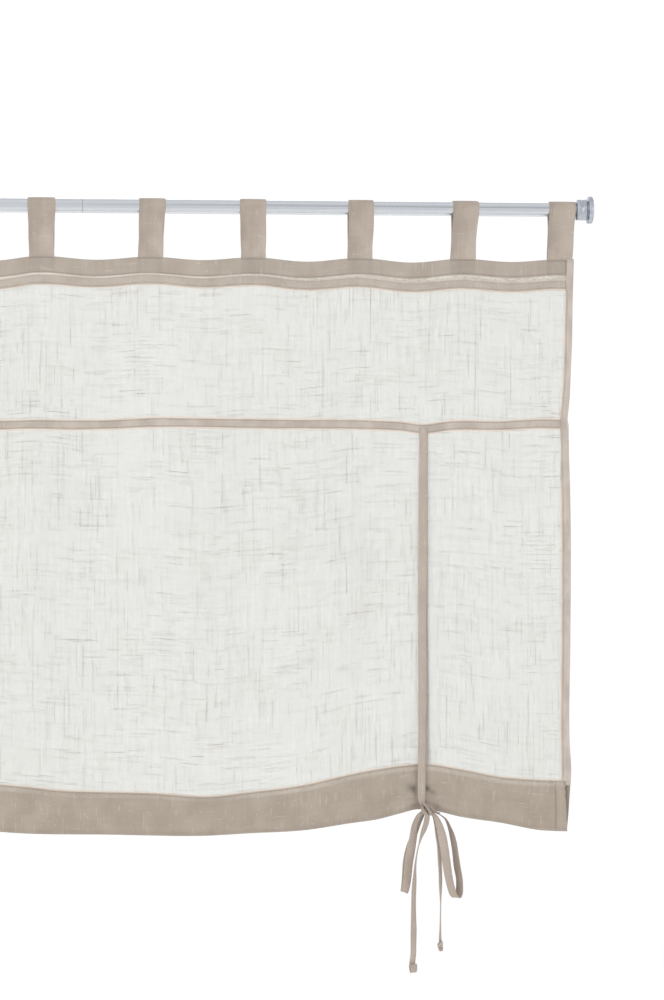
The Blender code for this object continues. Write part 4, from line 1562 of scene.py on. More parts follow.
@dataclass(frozen=True)
class TabStrip:
    """One tab: a doubled strip over the rod, whose ends are sewn into the heading."""

    number: int
    tab: Tab
    columns: int = 21
    leg_rows: int = 26
    over_rows: int = 44
    thickness: float = 0.0010
    gap: float = 0.0003
    foot_half_gap: float = 0.00055
    tuck: float = 0.0040
    flat_length: float = 0.176

    def grid(self, hang: HangingSurface) -> Grid:
        """The strip's middle surface.

        v runs from 0 at the front foot through 1 and 2, where it meets and leaves the rod, to
        3 at the back foot. Over the rod it is an arc, and each leg is a straight line with
        soft wrinkles: sines across the width that fade towards the rod.

        Args:
            hang: the hanging surface.

        Returns:
            The surface, with its marks.
        """
        tab = self.tab
        radius = ROD_RADIUS + self.gap + self.thickness / 2
        leg = -TAB_FOOT_Z
        touch = math.acos(radius / math.hypot(leg, self.foot_half_gap))
        touch -= math.atan2(self.foot_half_gap, leg)
        rows = np.concatenate(
            [
                np.linspace(0, 1, self.leg_rows),
                np.linspace(1, 2, self.over_rows)[1:-1],
                np.linspace(2, 3, self.leg_rows),
            ]
        )
        share, v = np.meshgrid(np.linspace(0, 1, self.columns), rows)
        angle = touch + (2 * math.pi - 2 * touch) * np.clip(v - 1, 0, 1)
        loop_y, loop_z = -radius * np.sin(angle), -radius * np.cos(angle)
        down = np.clip(1 - v, 0, 1) + np.clip(v - 2, 0, 1)
        front = v < 1.5
        phase = 1.7 * self.number
        width = tab.top_width + down * (tab.foot_width - tab.top_width)
        width = width - 0.0016 * bell((v - 1.45) / 0.16)
        waist = -0.0012 * np.sin(math.pi * down) * (1 + 0.5 * math.sin(phase))
        x = tab.top_x + down * (tab.foot_x - tab.top_x) + (share - 0.5) * (width + waist)
        x = x + 0.0005 * np.sin(2.2 * math.pi * down + phase) * np.where(front, 1, -0.6)
        foot_z = hang.heading_top(x) - self.tuck
        z = loop_z + down * (foot_z - loop_z)
        foot_y = hang.depth(x, foot_z) + np.where(front, -1, 1) * self.foot_half_gap
        y = loop_y + down * (foot_y - loop_y)
        slack = ramp(down / 0.35) * ramp((1 - down) / 0.30)
        wrinkle = 0.00055 * np.sin(5.3 * share + 3.1 * down + phase)
        wrinkle += 0.00030 * np.sin(13.0 * share - 4.0 * down + 2 * phase)
        belly = 0.0012 * np.sin(math.pi * down) * (0.4 + 0.6 * math.sin(phase + 1))
        y = y + slack * np.where(front, -1, 1) * (wrinkle + belly)
        puff = 0.00035 * (1 - (2 * share - 1) ** 4)
        z = z + puff * np.where(down == 0, 1, 0) * np.clip(np.sin(math.pi * (v - 1)), 0, 1)
        length = 2 * (leg + self.tuck) + radius * (2 * math.pi - 2 * touch)
        place = np.stack([share * tab.top_width + 0.07 * self.number, v / 3 * length], axis=-1)
        near_edge = np.minimum(share, 1 - share) * tab.foot_width
        edge = bell(near_edge / 0.0012) * 0.5
        at_foot = ramp((down - 0.90) / 0.08)
        # Painted shade on the upper left, left edge and foot; the pale mark paints the lower right
        # lighter
        upper_left = (1 - share) * (1 - 0.6 * down)
        shade = 0.19 * upper_left + 0.12 * ramp((0.22 - share) / 0.18) + 0.14 * at_foot
        pale = 0.10 * ramp((share - 0.35) / 0.3) * ramp((down - 0.35) / 0.4)
        seam = bell((down - 0.935) / 0.008)
        marks = {"edge": edge, "shade": shade, "pale": pale, "seam": seam}
        return Grid(joined(x, y, z), place, marks)

    def build(self, hang: HangingSurface, wardrobe: Wardrobe) -> Piece:
        """The tab as a piece over the rod."""
        obj = build_grid(f"tab_strip_{self.number}", self.grid(hang))
        add_piece(obj, wardrobe.tab, (f"tab_{self.number}",), self.thickness)
        return obj


@dataclass(frozen=True)
class VoilePanel:
    """The sheer panel, from inside the heading down into the hem."""

    columns: int = 286
    upper_rows: int = 40
    lower_rows: int = 92
    thickness: float = 0.0003
    seam_tuck: float = 0.0060
    in_hem: float = 0.0090
    in_side: float = 0.0030
    short_in_hem: float = 0.0100
    half_band: float = 0.0058
    line_width: float = 0.0011
    flat_length: float = 0.762

    def rows(self) -> Array:
        """Row values: whole numbers are at the edges of the taupe pieces, with rows close by.

        Returns:
            The values, rising from 0 to 5.
        """
        upper = np.concatenate(
            [[0.003, 0.006, 0.009, 0.013], np.linspace(0.03, 0.97, self.upper_rows)]
        )
        upper = np.concatenate([upper, [0.987, 0.991, 0.994, 0.997]])
        lower = np.concatenate(
            [[0.0012, 0.0024, 0.004, 0.006], np.linspace(0.012, 0.988, self.lower_rows)]
        )
        lower = np.concatenate([lower, [0.994, 0.996, 0.9976, 0.9988]])
        middle = np.linspace(2, 3, 5)
        return np.concatenate([[0, 0.4, 0.8, 1], 1 + upper, middle, 3 + lower, [4, 4.05, 4.5, 5]])

    def build(self, hang: HangingSurface, wardrobe: Wardrobe) -> Piece:
        """The panel on the hanging surface.

        Heights run from edge to edge: heading fold, heading foot, the band's two edges, hem.

        Args:
            hang: the hanging surface.
            wardrobe: the finishes.

        Returns:
            The panel.
        """
        stations = np.linspace(-HALF_WIDTH, HALF_WIDTH, self.columns)
        station, v = np.meshgrid(stations, self.rows())
        share = v / 5
        rough_z = hang.heading_top(station) * (1 - share) + hang.hem_top(station) * share
        inside = self.in_side + self.short_in_hem * np.clip((v - 4) / 0.05, 0, 1)
        x = fitted(station, hang.side(rough_z, "outer") - inside)
        top = hang.heading_top(x) - self.seam_tuck
        foot = hang.hem_top(x) - self.in_hem
        band = hang.band_z(x)
        edges = [hang.heading_foot(x), band + self.half_band, band - self.half_band, hang.hem_top(x)]
        z = stretches([top, *edges, foot], v)
        outward = (edges[0] - z, z - edges[1], edges[2] - z, z - edges[3])
        outward = (*outward, hang.side(z, "inner") - np.abs(x))
        # Painted glow: a warm light line along the voile beside each taupe piece's edge
        warm = sum(bell((far - 0.0008) / self.line_width) for far in outward)
        down = (top - z) / (top - foot)
        place = np.stack([station + HALF_WIDTH, down * self.flat_length], axis=-1)
        points = joined(x, hang.depth(x, z), z)
        obj = build_grid("voile_sheet", Grid(points, place, {"warm": np.clip(warm, 0, 1)}))
        add_piece(obj, wardrobe.voile, ("voile_panel",), self.thickness)
        return obj


@dataclass(frozen=True)
class HeadingBand:
    """The heading: a folded band with a pale single-layer line above its turned-up edge."""

    layer: float = 0.00115
    thickness: float = 0.0006
    columns: int = 420
    upper: float = 0.0232
    turn_up: float = 0.0115
    tab_reach: float = 0.0210
    pucker: float = 0.00012
    stitch_in: float = 0.0014
    tab_stitch_in: float = 0.0026
    flat_height: float = 0.084

    def knots(self, hang: HangingSurface, x: Array) -> list[Array]:
        """Heights from the foot up: foot, top of the turn-up, top of the pale line, top edge."""
        top = hang.heading_top(x) - self.layer - self.thickness / 2
        foot = hang.heading_foot(x)
        to_side = ramp((np.abs(x) - 0.20) / 0.20)
        turned_up = foot + self.turn_up - 0.0012 * to_side
        return [foot, turned_up, hang.heading_top(x) - self.upper + 0.0010 * to_side, top]

    def offset(self, x: Array, below_top: Array) -> Array:
        """How far the band lies from the hanging surface: more where tab ends are inside."""
        down = ramp((self.tab_reach - below_top) / 0.0030 + 0.5)
        return self.layer + 0.0005 * over_tabs(x, 0.0030) * down

    def build(self, hang: HangingSurface, wardrobe: Wardrobe) -> Piece:
        """The band: up the front, round the top fold as a half circle, down the back.

        Between its seams the cloth puffs by a sine of the height and puckers along x.

        Args:
            hang: the hanging surface.
            wardrobe: the finishes.

        Returns:
            The band.
        """
        half = float(hang.side(np.array(TAB_FOOT_Z), "inner")) - END_GAP
        leg = np.concatenate(
            [[0, 0.06], np.linspace(0.12, 1, 8), np.linspace(1, 2, 8)[1:]]
            + [[2.04, 2.08, 2.12], np.linspace(2.2, 2.85, 9), [2.90, 2.93, 2.96, 3]]
        )
        v = np.concatenate([leg, np.linspace(3, 4, 8)[1:-1], 7 - leg[::-1]])
        station, v = np.meshgrid(np.linspace(-HALF_WIDTH, HALF_WIDTH, self.columns), v)
        x = fitted(station, half)
        up = np.minimum(v, 7 - v)
        z = stretches(self.knots(hang, x), np.clip(up, 0, 3))
        angle = math.pi * np.clip(v - 3, 0, 1)
        across = -np.cos(angle)
        offset = self.offset(x, hang.heading_top(x) - z)
        z = z + self.layer * np.sin(angle)
        puff = 0.00022 * np.abs(np.sin(math.pi * up)) * np.where(up < 3, 1, 0)
        pucker = self.pucker * np.sin(x / 0.0036 + 2 * np.sin(x * 31)) * bell(up * 3)
        y = hang.depth(x, z) + across * (offset + puff + pucker)
        sunk = ramp(np.minimum(up - 1, 2 - up) / 0.25)
        y = y - across * 0.00030 * sunk
        below_top = hang.heading_top(x) - z
        inserts = over_tabs(x, 0.0016)
        shade = 0.17 * inserts * ramp((self.tab_reach - below_top) / 0.0016 + 0.5)
        seam_line = bell((up - 2.03) / 0.03) + bell((up - 0.96) / 0.05)
        shade = shade + 0.22 * seam_line + 0.24 * bell((below_top - 0.0018) / 0.0007) * inserts
        strip = up - 1
        line = 0.45 + 0.55 * bell((strip - 0.78) / 0.30) + 0.25 * bell((strip - 0.12) / 0.15)
        turned_up = 0.16 * ramp((1 - up) / 0.05) * (v < 3.5)
        pale = sunk * line + turned_up
        edge = bell(up / 0.10) * 0.6
        place = np.stack([station + HALF_WIDTH, v * 0.0125], axis=-1)
        seam = bell((up - 0.12) / 0.05) + 0.6 * bell((up - 2.08) / 0.04)
        seam = seam + bell((below_top - 0.0016) / 0.0008) * inserts
        marks = {"shade": shade, "pale": pale, "edge": edge, "seam": seam}
        obj = build_grid("heading_fold", Grid(joined(x, y, z), place, marks))
        add_piece(obj, wardrobe.heading, ("heading_band",), self.thickness)
        return obj

    def seams(self, hang: HangingSurface, face: Face) -> list[Array]:
        """The paths of its stitch lines on one face: near the foot, above the pale line, on tabs.

        Args:
            hang: the hanging surface.
            face: the side of the cloth that they lie on.

        Returns:
            Arrays of points on the cloth.
        """
        half = float(hang.side(np.array(TAB_FOOT_Z), "inner")) - 0.004
        x = np.linspace(-half, half, 600)
        foot, _, pale_top, _ = self.knots(hang, x)
        paths = []
        for z in (foot + self.stitch_in, pale_top + self.stitch_in):
            proud = self.offset(x, hang.heading_top(x) - z) + self.thickness / 2 + BEAD_PROUD
            paths.append(joined(x, hang.depth(x, z) + face.value * proud, z))
        for tab in TABS:
            x = tab.foot_x + np.linspace(-0.48, 0.48, 24) * tab.foot_width
            z = hang.heading_top(x) - self.tab_stitch_in
            proud = self.offset(x, hang.heading_top(x) - z) + self.thickness / 2 + BEAD_PROUD
            paths.append(joined(x, hang.depth(x, z) + face.value * proud, z))
        return paths


@dataclass(frozen=True)
class CrossBand:
    """The narrow band sewn across the front along both its edges."""

    end_z: float = -0.3045
    height: float = 0.0116
    rise: float = 0.00035
    pucker: float = 0.0001
    layer: float = 0.0010
    thickness: float = 0.0007
    columns: int = 460
    rows: int = 17
    stitch_in: float = 0.0012

    def build(self, hang: HangingSurface, wardrobe: Wardrobe) -> Piece:
        """The band: an arch between its two seams, (1 - t^4) of a small rise, faintly puckered.

        Args:
            hang: the hanging surface.
            wardrobe: the finishes.

        Returns:
            The band.
        """
        half = float(hang.side(np.array(self.end_z), "inner")) - END_GAP
        shares = np.linspace(0, 1, self.rows)
        station, share = np.meshgrid(np.linspace(-HALF_WIDTH, HALF_WIDTH, self.columns), shares)
        x = fitted(station, half)
        t = 2 * share - 1
        uneven = 1 + 0.035 * np.sin(x * 47 + 1) + 0.025 * np.sin(x * 113)
        z = hang.band_z(x) - t * self.height / 2 * uneven
        rise = self.rise * (1 - t**4)
        pucker = self.pucker * np.sin(x / 0.0034 + 3 * np.sin(x * 23)) * np.abs(t)
        y = hang.depth(x, z) - self.layer + 0.0003 - rise + pucker
        place = np.stack([station + HALF_WIDTH, 0.3 + share * self.height], axis=-1)
        edge = 0.55 * bell((1 - np.abs(t)) / 0.10)
        seam = bell((np.abs(t) - 0.78) / 0.06)
        tie = bell((np.abs(x) - TIE_X) / 0.0075)
        marks = {"edge": edge, "shade": 0.12 + 0.10 * seam + 0.16 * tie, "seam": seam}
        obj = build_grid("band_across", Grid(joined(x, y, z), place, marks))
        add_piece(obj, wardrobe.side, ("cross_band",), self.thickness)
        return obj

    def seams(self, hang: HangingSurface) -> list[Array]:
        """Stitch lines just inside both edges.

        Args:
            hang: the hanging surface.

        Returns:
            Arrays of points on the cloth.
        """
        x = np.linspace(-0.578, 0.578, 600)
        paths = []
        for sign in (-1, 1):
            z = hang.band_z(x) + sign * (self.height / 2 - self.stitch_in)
            y = hang.depth(x, z) - self.layer - self.thickness / 2 - BEAD_PROUD
            paths.append(joined(x, y, z))
        return paths


@dataclass(frozen=True)
class SideBinding:
    """A binding folded round one side edge, from the heading's top down to the hem."""

    side: Side
    layer: float = 0.0012
    thickness: float = 0.0007
    rows: int = 380
    stitch_in: float = 0.0014
    into_hem: float = 0.0070
    mouth: float = 0.0082
    seam_ends: tuple[float, float] = (-0.114, -0.806)
    flat: tuple[float, float] = (0.027, 0.745)

    def build(self, hang: HangingSurface, wardrobe: Wardrobe) -> Piece:
        """The binding: in from its front edge, round the outer fold, back along the rear face.

        Args:
            hang: the hanging surface.
            wardrobe: the finishes.

        Returns:
            The binding.
        """
        top = TAB_FOOT_Z + 0.0005
        hem_top = float(hang.hem_top(hang.side(np.array(-0.8), "inner"))) + 0.0005
        foot = hem_top - self.into_hem
        leg = np.linspace(0, 1, 9)
        v = np.concatenate([leg, np.linspace(1, 2, 8)[1:-1], 3 - leg[::-1]])
        v, share = np.meshgrid(v, np.linspace(0, 1, self.rows))
        z = top + share * (foot - top)
        along = np.minimum(v, 3 - v)
        angle = math.pi * np.clip(v - 1, 0, 1)
        across = -np.cos(angle)
        in_hem = ramp((hem_top - z) / 0.0008)
        start = hang.side(z, "inner") + 0.0003 * np.sin(z * 90 + 1)
        start = start + in_hem * (hang.side(z, "outer") - self.mouth - start)
        fold = hang.side(z, "outer") - self.layer - self.thickness / 2
        x = start + np.clip(along, 0, 1) * (fold - start) + self.layer * np.sin(angle)
        x = self.side.value * x
        puff = 0.0003 * np.sin(math.pi * np.clip(along, 0, 1))
        pucker = 0.0001 * np.sin(z / 0.0033 + 2 * np.sin(z * 37)) * bell(along * 2)
        proud = self.layer + puff + pucker - 0.0003 * bell(along * 5)
        y = hang.depth(x, z) + across * proud * (1 - 0.65 * in_hem)
        place = np.stack([0.02 * v + 0.4, share * self.flat[1]], axis=-1)
        edge = 0.6 * bell(along / 0.09) + 0.35 * bell((along - 1.05) / 0.12)
        band = bell((z + 0.306) / 0.006)
        seam = bell((along - 0.17) / 0.05)
        at_heading = ramp((z - float(hang.heading_foot(np.array(0.58)))) / 0.0015 + 0.5)
        shade = 0.10 * seam + 0.15 * band + 0.16 * at_heading + 0.25 * in_hem
        marks = {"edge": edge, "shade": shade, "seam": seam * (1 - in_hem)}
        name = f"binding_{self.side.label}"
        grid = Grid(joined(x, y, z), place, marks)
        obj = build_grid(name, grid)
        stands_for = (f"side_binding_{self.side.label}",)
        add_piece(obj, wardrobe.side, stands_for, self.thickness)
        return obj

    def seam(self, hang: HangingSurface, face: Face) -> Array:
        """The stitch line near the inner edge, on one face."""
        z = np.linspace(*self.seam_ends, 400)
        x = self.side.value * (hang.side(z, "inner") + self.stitch_in)
        proud = self.layer + self.thickness / 2 + 0.0002
        return joined(x, hang.depth(x, z) + face.value * proud, z)


@dataclass(frozen=True)
class HemTunnel:
    """The hem: a folded strip with open ends and a paler seam strip along its top."""

    layer: float = 0.0013
    thickness: float = 0.0007
    columns: int = 360
    swell: float = 0.0011
    front_short: float = 0.0090
    strip: float = 0.0075
    end_seam_x: float = 0.5745
    end_seam_z: tuple[float, float] = (-0.8175, -0.8800)
    stitch_in: float = 0.0013
    flat: tuple[float, float] = (1.19, 0.135)

    def dents(self, x: Array, z: Array) -> Array:
        """Shading in the dents and pulled creases near the tie: drawn-out bells, added up."""
        total = np.zeros(np.broadcast(x, z).shape)
        for dent in HEM_DENTS:
            along, across = dent.measure(x, z)
            total += dent.depth * bell(across / dent.half_width) * bell(2 * along - 1)
        return total

    def build(self, hang: HangingSurface, wardrobe: Wardrobe) -> Piece:
        """The strip: down the front, round the bottom fold, up the back.

        It swells by a sine of the height, less near the ties, and its front layer stops
        short of its back layer at each end.

        Args:
            hang: the hanging surface.
            wardrobe: the finishes.

        Returns:
            The hem.
        """
        leg = np.concatenate([np.linspace(0, 0.14, 6), np.linspace(0.14, 1, 22)[1:]])
        v = np.concatenate([leg, np.linspace(1, 2, 8)[1:-1], 3 - leg[::-1]])
        even = np.linspace(-HALF_WIDTH, HALF_WIDTH, self.columns)
        close = TIE_X + np.linspace(-0.042, 0.042, 57)
        at_end = self.end_seam_x + np.linspace(-0.004, 0.004, 11)
        even = even[np.abs(np.abs(even) - TIE_X) > 0.0435]
        even = even[np.abs(np.abs(even) - self.end_seam_x) > 0.0050]
        stations = np.sort(np.concatenate([even, close, -close, at_end, -at_end]))
        station, v = np.meshgrid(stations, v)
        down = np.minimum(v, 3 - v)
        down = np.clip(down, 0, 1)
        angle = math.pi * np.clip(v - 1, 0, 1)
        across = -np.cos(angle)
        front = np.clip(-across, 0, 1)
        rough_z = hang.hem_top(station) * (1 - down) + hang.hem_bottom(station) * down
        frayed = 1 + 0.07 * np.sin(rough_z * 760) + 0.05 * np.sin(rough_z * 1730)
        short = self.front_short * frayed * (1 - down)
        end = hang.side(rough_z, "outer") - short * front
        x = fitted(station, end)
        bottom = hang.hem_bottom(x) + self.layer + self.thickness / 2
        z = hang.hem_top(x) + down * (bottom - hang.hem_top(x)) - self.layer * np.sin(angle)
        near_tie = hang.near_tie(x, 0.034)
        swell = self.swell * np.sin(math.pi * down) * (1 - near_tie)
        gathers = 0.0005 * np.sin(np.abs(np.abs(x) - TIE_X) / 0.0021) * hang.near_tie(x, 0.018)
        gathers = gathers * np.sin(math.pi * down)
        seam_step = 0.00025 * ramp((self.end_seam_x - np.abs(x)) / 0.0012 + 0.5)
        y = hang.depth(x, z) + across * (self.layer + swell + gathers - seam_step * front)
        depth_down = hang.hem_top(x) - z
        seen_strip = ramp((np.abs(x + 0.02) - 0.10) / 0.10)
        pale = 0.26 * ramp((self.strip - depth_down) / 0.0012 + 0.5) * (0.4 + 0.6 * seen_strip)
        strip_line = bell((depth_down - self.strip) / 0.0006)
        end_seam = bell((np.abs(x) - self.end_seam_x) / 0.0009) * front
        dent = self.dents(np.abs(x), z) * front
        past_front = np.abs(x) - hang.side(rough_z, "outer") + short
        hollow = 0.30 + 0.70 * bell(np.maximum(past_front, 0) / 0.0035)
        inside = (1 - front) * ramp((np.abs(x) - 0.565) / 0.015) * hollow
        fold_shade = 0.16 * bell((down - 0.97) / 0.05)
        shade = dent + 0.25 * end_seam + 0.10 * strip_line + 0.80 * inside + fold_shade
        edge = 0.75 * bell(depth_down / 0.0012) + 0.45 * strip_line * seen_strip
        place = np.stack([station + HALF_WIDTH, 0.9 + v * 0.064], axis=-1)
        seam = bell((depth_down - 0.0014) / 0.0008) + 0.8 * end_seam
        marks = {"pale": pale, "shade": np.clip(shade, 0, 1.2), "edge": edge, "seam": seam}
        obj = build_grid("hem_fold", Grid(joined(x, y, z), place, marks))
        add_piece(obj, wardrobe.hem, ("hem_tunnel",), self.thickness)
        return obj

    def seams(self, hang: HangingSurface, face: Face) -> list[Array]:
        """The stitch lines on one face: under the strip, and up each end of the front.

        Args:
            hang: the hanging surface.
            face: the side of the cloth that they lie on.

        Returns:
            Arrays of points on the cloth.
        """
        x = np.linspace(-0.575, 0.575, 600)
        z = hang.hem_top(x) - self.stitch_in
        proud = self.layer + self.thickness / 2 + BEAD_PROUD
        paths = [joined(x, hang.depth(x, z) + face.value * proud, z)]
        if face is Face.BACK:
            return paths
        for side in Side:
            z = np.linspace(*self.end_seam_z, 60)
            x = np.full_like(z, side.value * (self.end_seam_x - 0.0012))
            down = np.clip((hang.hem_top(x) - z) / 0.067, 0, 1)
            proud = self.layer + self.swell * np.sin(math.pi * down) + self.thickness / 2
            paths.append(joined(x, hang.depth(x, z) - proud - BEAD_PROUD, z))
        return paths


@dataclass(frozen=True)
class Tape:
    """A tape along a route of given rows, with a slight cross curl and a stitched edge."""

    name: str
    rows: tuple[TapeRow, ...]
    base: Place = (0.0, 0.0, 0.0)
    lean: float = 0.0
    follows_cloth: bool = False
    steps: int = 9
    columns: int = 11
    thickness: float = 0.0009
    curl: float = 0.0005
    flat_width: float = 0.0125
    # Painted shade on a loop's far strand: from this share of the length, darker by dim
    dim_from: float = 2.0
    dim: float = 0.30

    def grid(self, side: Side, hang: HangingSurface) -> tuple[Grid, float]:
        """The tape's middle surface and its length.

        Each row's middle, width and turn are read from smooth curves along the length. The
        tape lies across the run, turned about it and, where it runs level, leaning to the
        right; its edges lift by the square of the distance from the middle, and it wrinkles
        by small sines along it, both less where it turns.

        Args:
            side: which side of the blind.
            hang: the surface that some tapes follow.

        Returns:
            The grid and the tape's length.
        """
        measures = np.array(self.rows, float)
        measures[:, :3] += self.base
        sign = side.value
        if self.follows_cloth:
            measures[:, 1] += hang.depth(sign * measures[:, 0], measures[:, 2])
        lengths = np.linalg.norm(np.diff(measures[:, :3], axis=0), axis=1)
        far = np.concatenate([[0], np.cumsum(lengths)])
        places = far / far[-1]
        count = self.steps * (len(self.rows) - 1) + 1
        v = np.interp(np.linspace(0, len(self.rows) - 1, count), np.arange(len(self.rows)), places)
        step = 0.002

        def route(at: Array) -> Array:
            """The middle line at shares of the length."""
            return np.stack([through(places, measures[:, i], at) for i in range(3)], axis=1)

        run = route(v + step) - route(v - step)
        run /= np.linalg.norm(run, axis=1, keepdims=True)
        turn = np.radians(through(places, measures[:, 4], v))
        lean = math.radians(self.lean)
        level = np.cos(turn) * math.cos(lean)
        across = joined(level, np.sin(turn), -np.cos(turn) * math.sin(lean))
        across -= run * np.sum(run * across, axis=1, keepdims=True)
        across /= np.linalg.norm(across, axis=1, keepdims=True)
        out = np.cross(run, across)
        share = np.linspace(-1, 1, self.columns)
        width = through(places, measures[:, 3], v)
        squeezed = 1 - np.clip(width / self.flat_width, 0, 1)
        bow = self.curl * (share[None, :] ** 2 - 0.33)
        pleats = 0.0009 * squeezed[:, None] * np.cos(2.5 * math.pi * share)[None, :]
        flow = far[-1] * v[:, None]
        ripple = 0.00018 * np.sin(flow / 0.0065 + 2.1 * share[None, :] + 3 * np.sin(flow * 21))
        lift = (bow + pleats + ripple) * np.abs(run[:, 2:3])
        points = (
            route(v)[:, None, :]
            + across[:, None, :] * (share[None, :, None] * width[:, None, None] / 2)
            + out[:, None, :] * lift[:, :, None]
        )
        points[..., 0] *= sign
        cloth_u = np.broadcast_to((share[None, :] + 1) / 2 * self.flat_width, lift.shape)
        cloth_v = np.broadcast_to(flow, lift.shape)
        left_edge = bell((share + 0.90) / 0.09)
        # Painted shade: darker towards the right side, where the tape is squeezed, and along the far
        # strand
        shade = 0.14 * ramp((share - 0.1) / 0.9)
        marks = {
            "edge": np.broadcast_to(0.85 * left_edge, lift.shape),
            "shade": np.broadcast_to(shade + 0.12 * bell((share + 0.72) / 0.07), lift.shape)
            + 0.25 * squeezed[:, None]
            + self.dim * ramp((v - self.dim_from) / 0.08)[:, None],
        }
        return Grid(points, np.stack([cloth_u, cloth_v], axis=-1), marks), float(far[-1])

    def build(
        self,
        side: Side,
        hang: HangingSurface,
        wardrobe: Wardrobe,
        held: str = "",
        stands_for: tuple[str, ...] = (),
        knots: list[Piece] | None = None,
    ) -> Piece:
        """The tape as a piece, with its finish and thickness.

        Args:
            side: which side of the blind.
            hang: the hanging surface.
            wardrobe: the finishes.
            held: how it is held, as a sheet, or nothing for a turn that goes with another.
            stands_for: the solids that it replaces.
            knots: the knot pieces that go with it; not used.

        Returns:
            The piece.
        """
        grid, length = self.grid(side, hang)
        obj = build_grid(f"{self.name}_{side.label}", grid)
        add_piece(obj, wardrobe.tape, stands_for, self.thickness)
        if held:
            mean_width = float(np.mean(column(self.rows, "width")))
        return obj


@dataclass(frozen=True)
class Wrap:
    """A turn of tape round a knot: an ellipse tilted about the front, with a rounded section."""

    centre: Place
    radii: tuple[float, float]
    tilt: float
    width: float
    bulge: float

    def grid(self, side: Side) -> Grid:
        """The turn: a point on the ellipse, moved along its axis by the share of the width.

        The section bulges out by (1 - t^2).

        Args:
            side: which side of the blind.

        Returns:
            The surface, with its marks.
        """
        angle = np.linspace(0, 2 * math.pi, 48, endpoint=False)
        t = np.linspace(-1, 1, 9)
        angle, t = np.meshgrid(angle, t, indexing="ij")
        tilt = math.radians(self.tilt)
        axis = np.array([math.cos(tilt), 0.0, math.sin(tilt)])
        first = np.array([-math.sin(tilt), 0.0, math.cos(tilt)])
        second = np.array([0.0, 1.0, 0.0])
        swell = self.bulge * (1 - t * t) * (1 + 0.25 * np.sin(3 * angle))
        a, b = self.radii[0] + swell, self.radii[1] + swell
        narrow = 1 - 0.25 * np.cos(2 * angle)
        points = (
            np.array(self.centre)
            + (a * np.cos(angle))[..., None] * first
            + (b * np.sin(angle))[..., None] * second
            + (t * self.width / 2 * narrow)[..., None] * axis
        )
        points[..., 0] *= side.value
        place = np.stack([angle * self.radii[0], t * self.width], axis=-1)
        marks = {"edge": 0.7 * bell((np.abs(t) - 0.95) / 0.1), "shade": 0.10 * np.abs(t) ** 3}
        return Grid(points, place, marks, round_rows=True)


@dataclass(frozen=True)
class Lump:
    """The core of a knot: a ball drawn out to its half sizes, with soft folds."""

    centre: Place
    half_size: Place
    folds: float = 0.10
    shade: float = 0.10

    def grid(self, side: Side) -> Grid:
        """The ball: latitude and longitude, with a radius that two sines make uneven.

        Args:
            side: which side of the blind.

        Returns:
            The surface, with its marks.
        """
        latitude = np.linspace(1e-3, math.pi - 1e-3, 26)
        longitude = np.linspace(0, 2 * math.pi, 40, endpoint=False)
        latitude, longitude = np.meshgrid(latitude, longitude, indexing="ij")
        radius = 1 + self.folds * np.sin(5 * longitude + 3 * latitude) * np.sin(latitude) ** 2
        radius += 0.6 * self.folds * np.sin(2 * longitude - 5 * latitude + 1)
        unit = np.stack(
            [
                np.sin(latitude) * np.cos(longitude),
                np.sin(latitude) * np.sin(longitude),
                np.cos(latitude),
            ],
            axis=-1,
        )
        points = np.array(self.centre) + unit * radius[..., None] * np.array(self.half_size)
        points[..., 0] *= side.value
        place = np.stack([longitude, latitude], axis=-1) * self.half_size[0]
        grooves = 0.5 - 0.5 * np.sin(5 * longitude + 3 * latitude)
        return Grid(points, place, {"shade": self.shade + 0.30 * grooves}, round_columns=True)


def from_knot(offset: Place) -> Place:
    """A place measured from the knot of the bow, on the right side."""
    return tuple(k + o for k, o in zip(KNOT, offset))


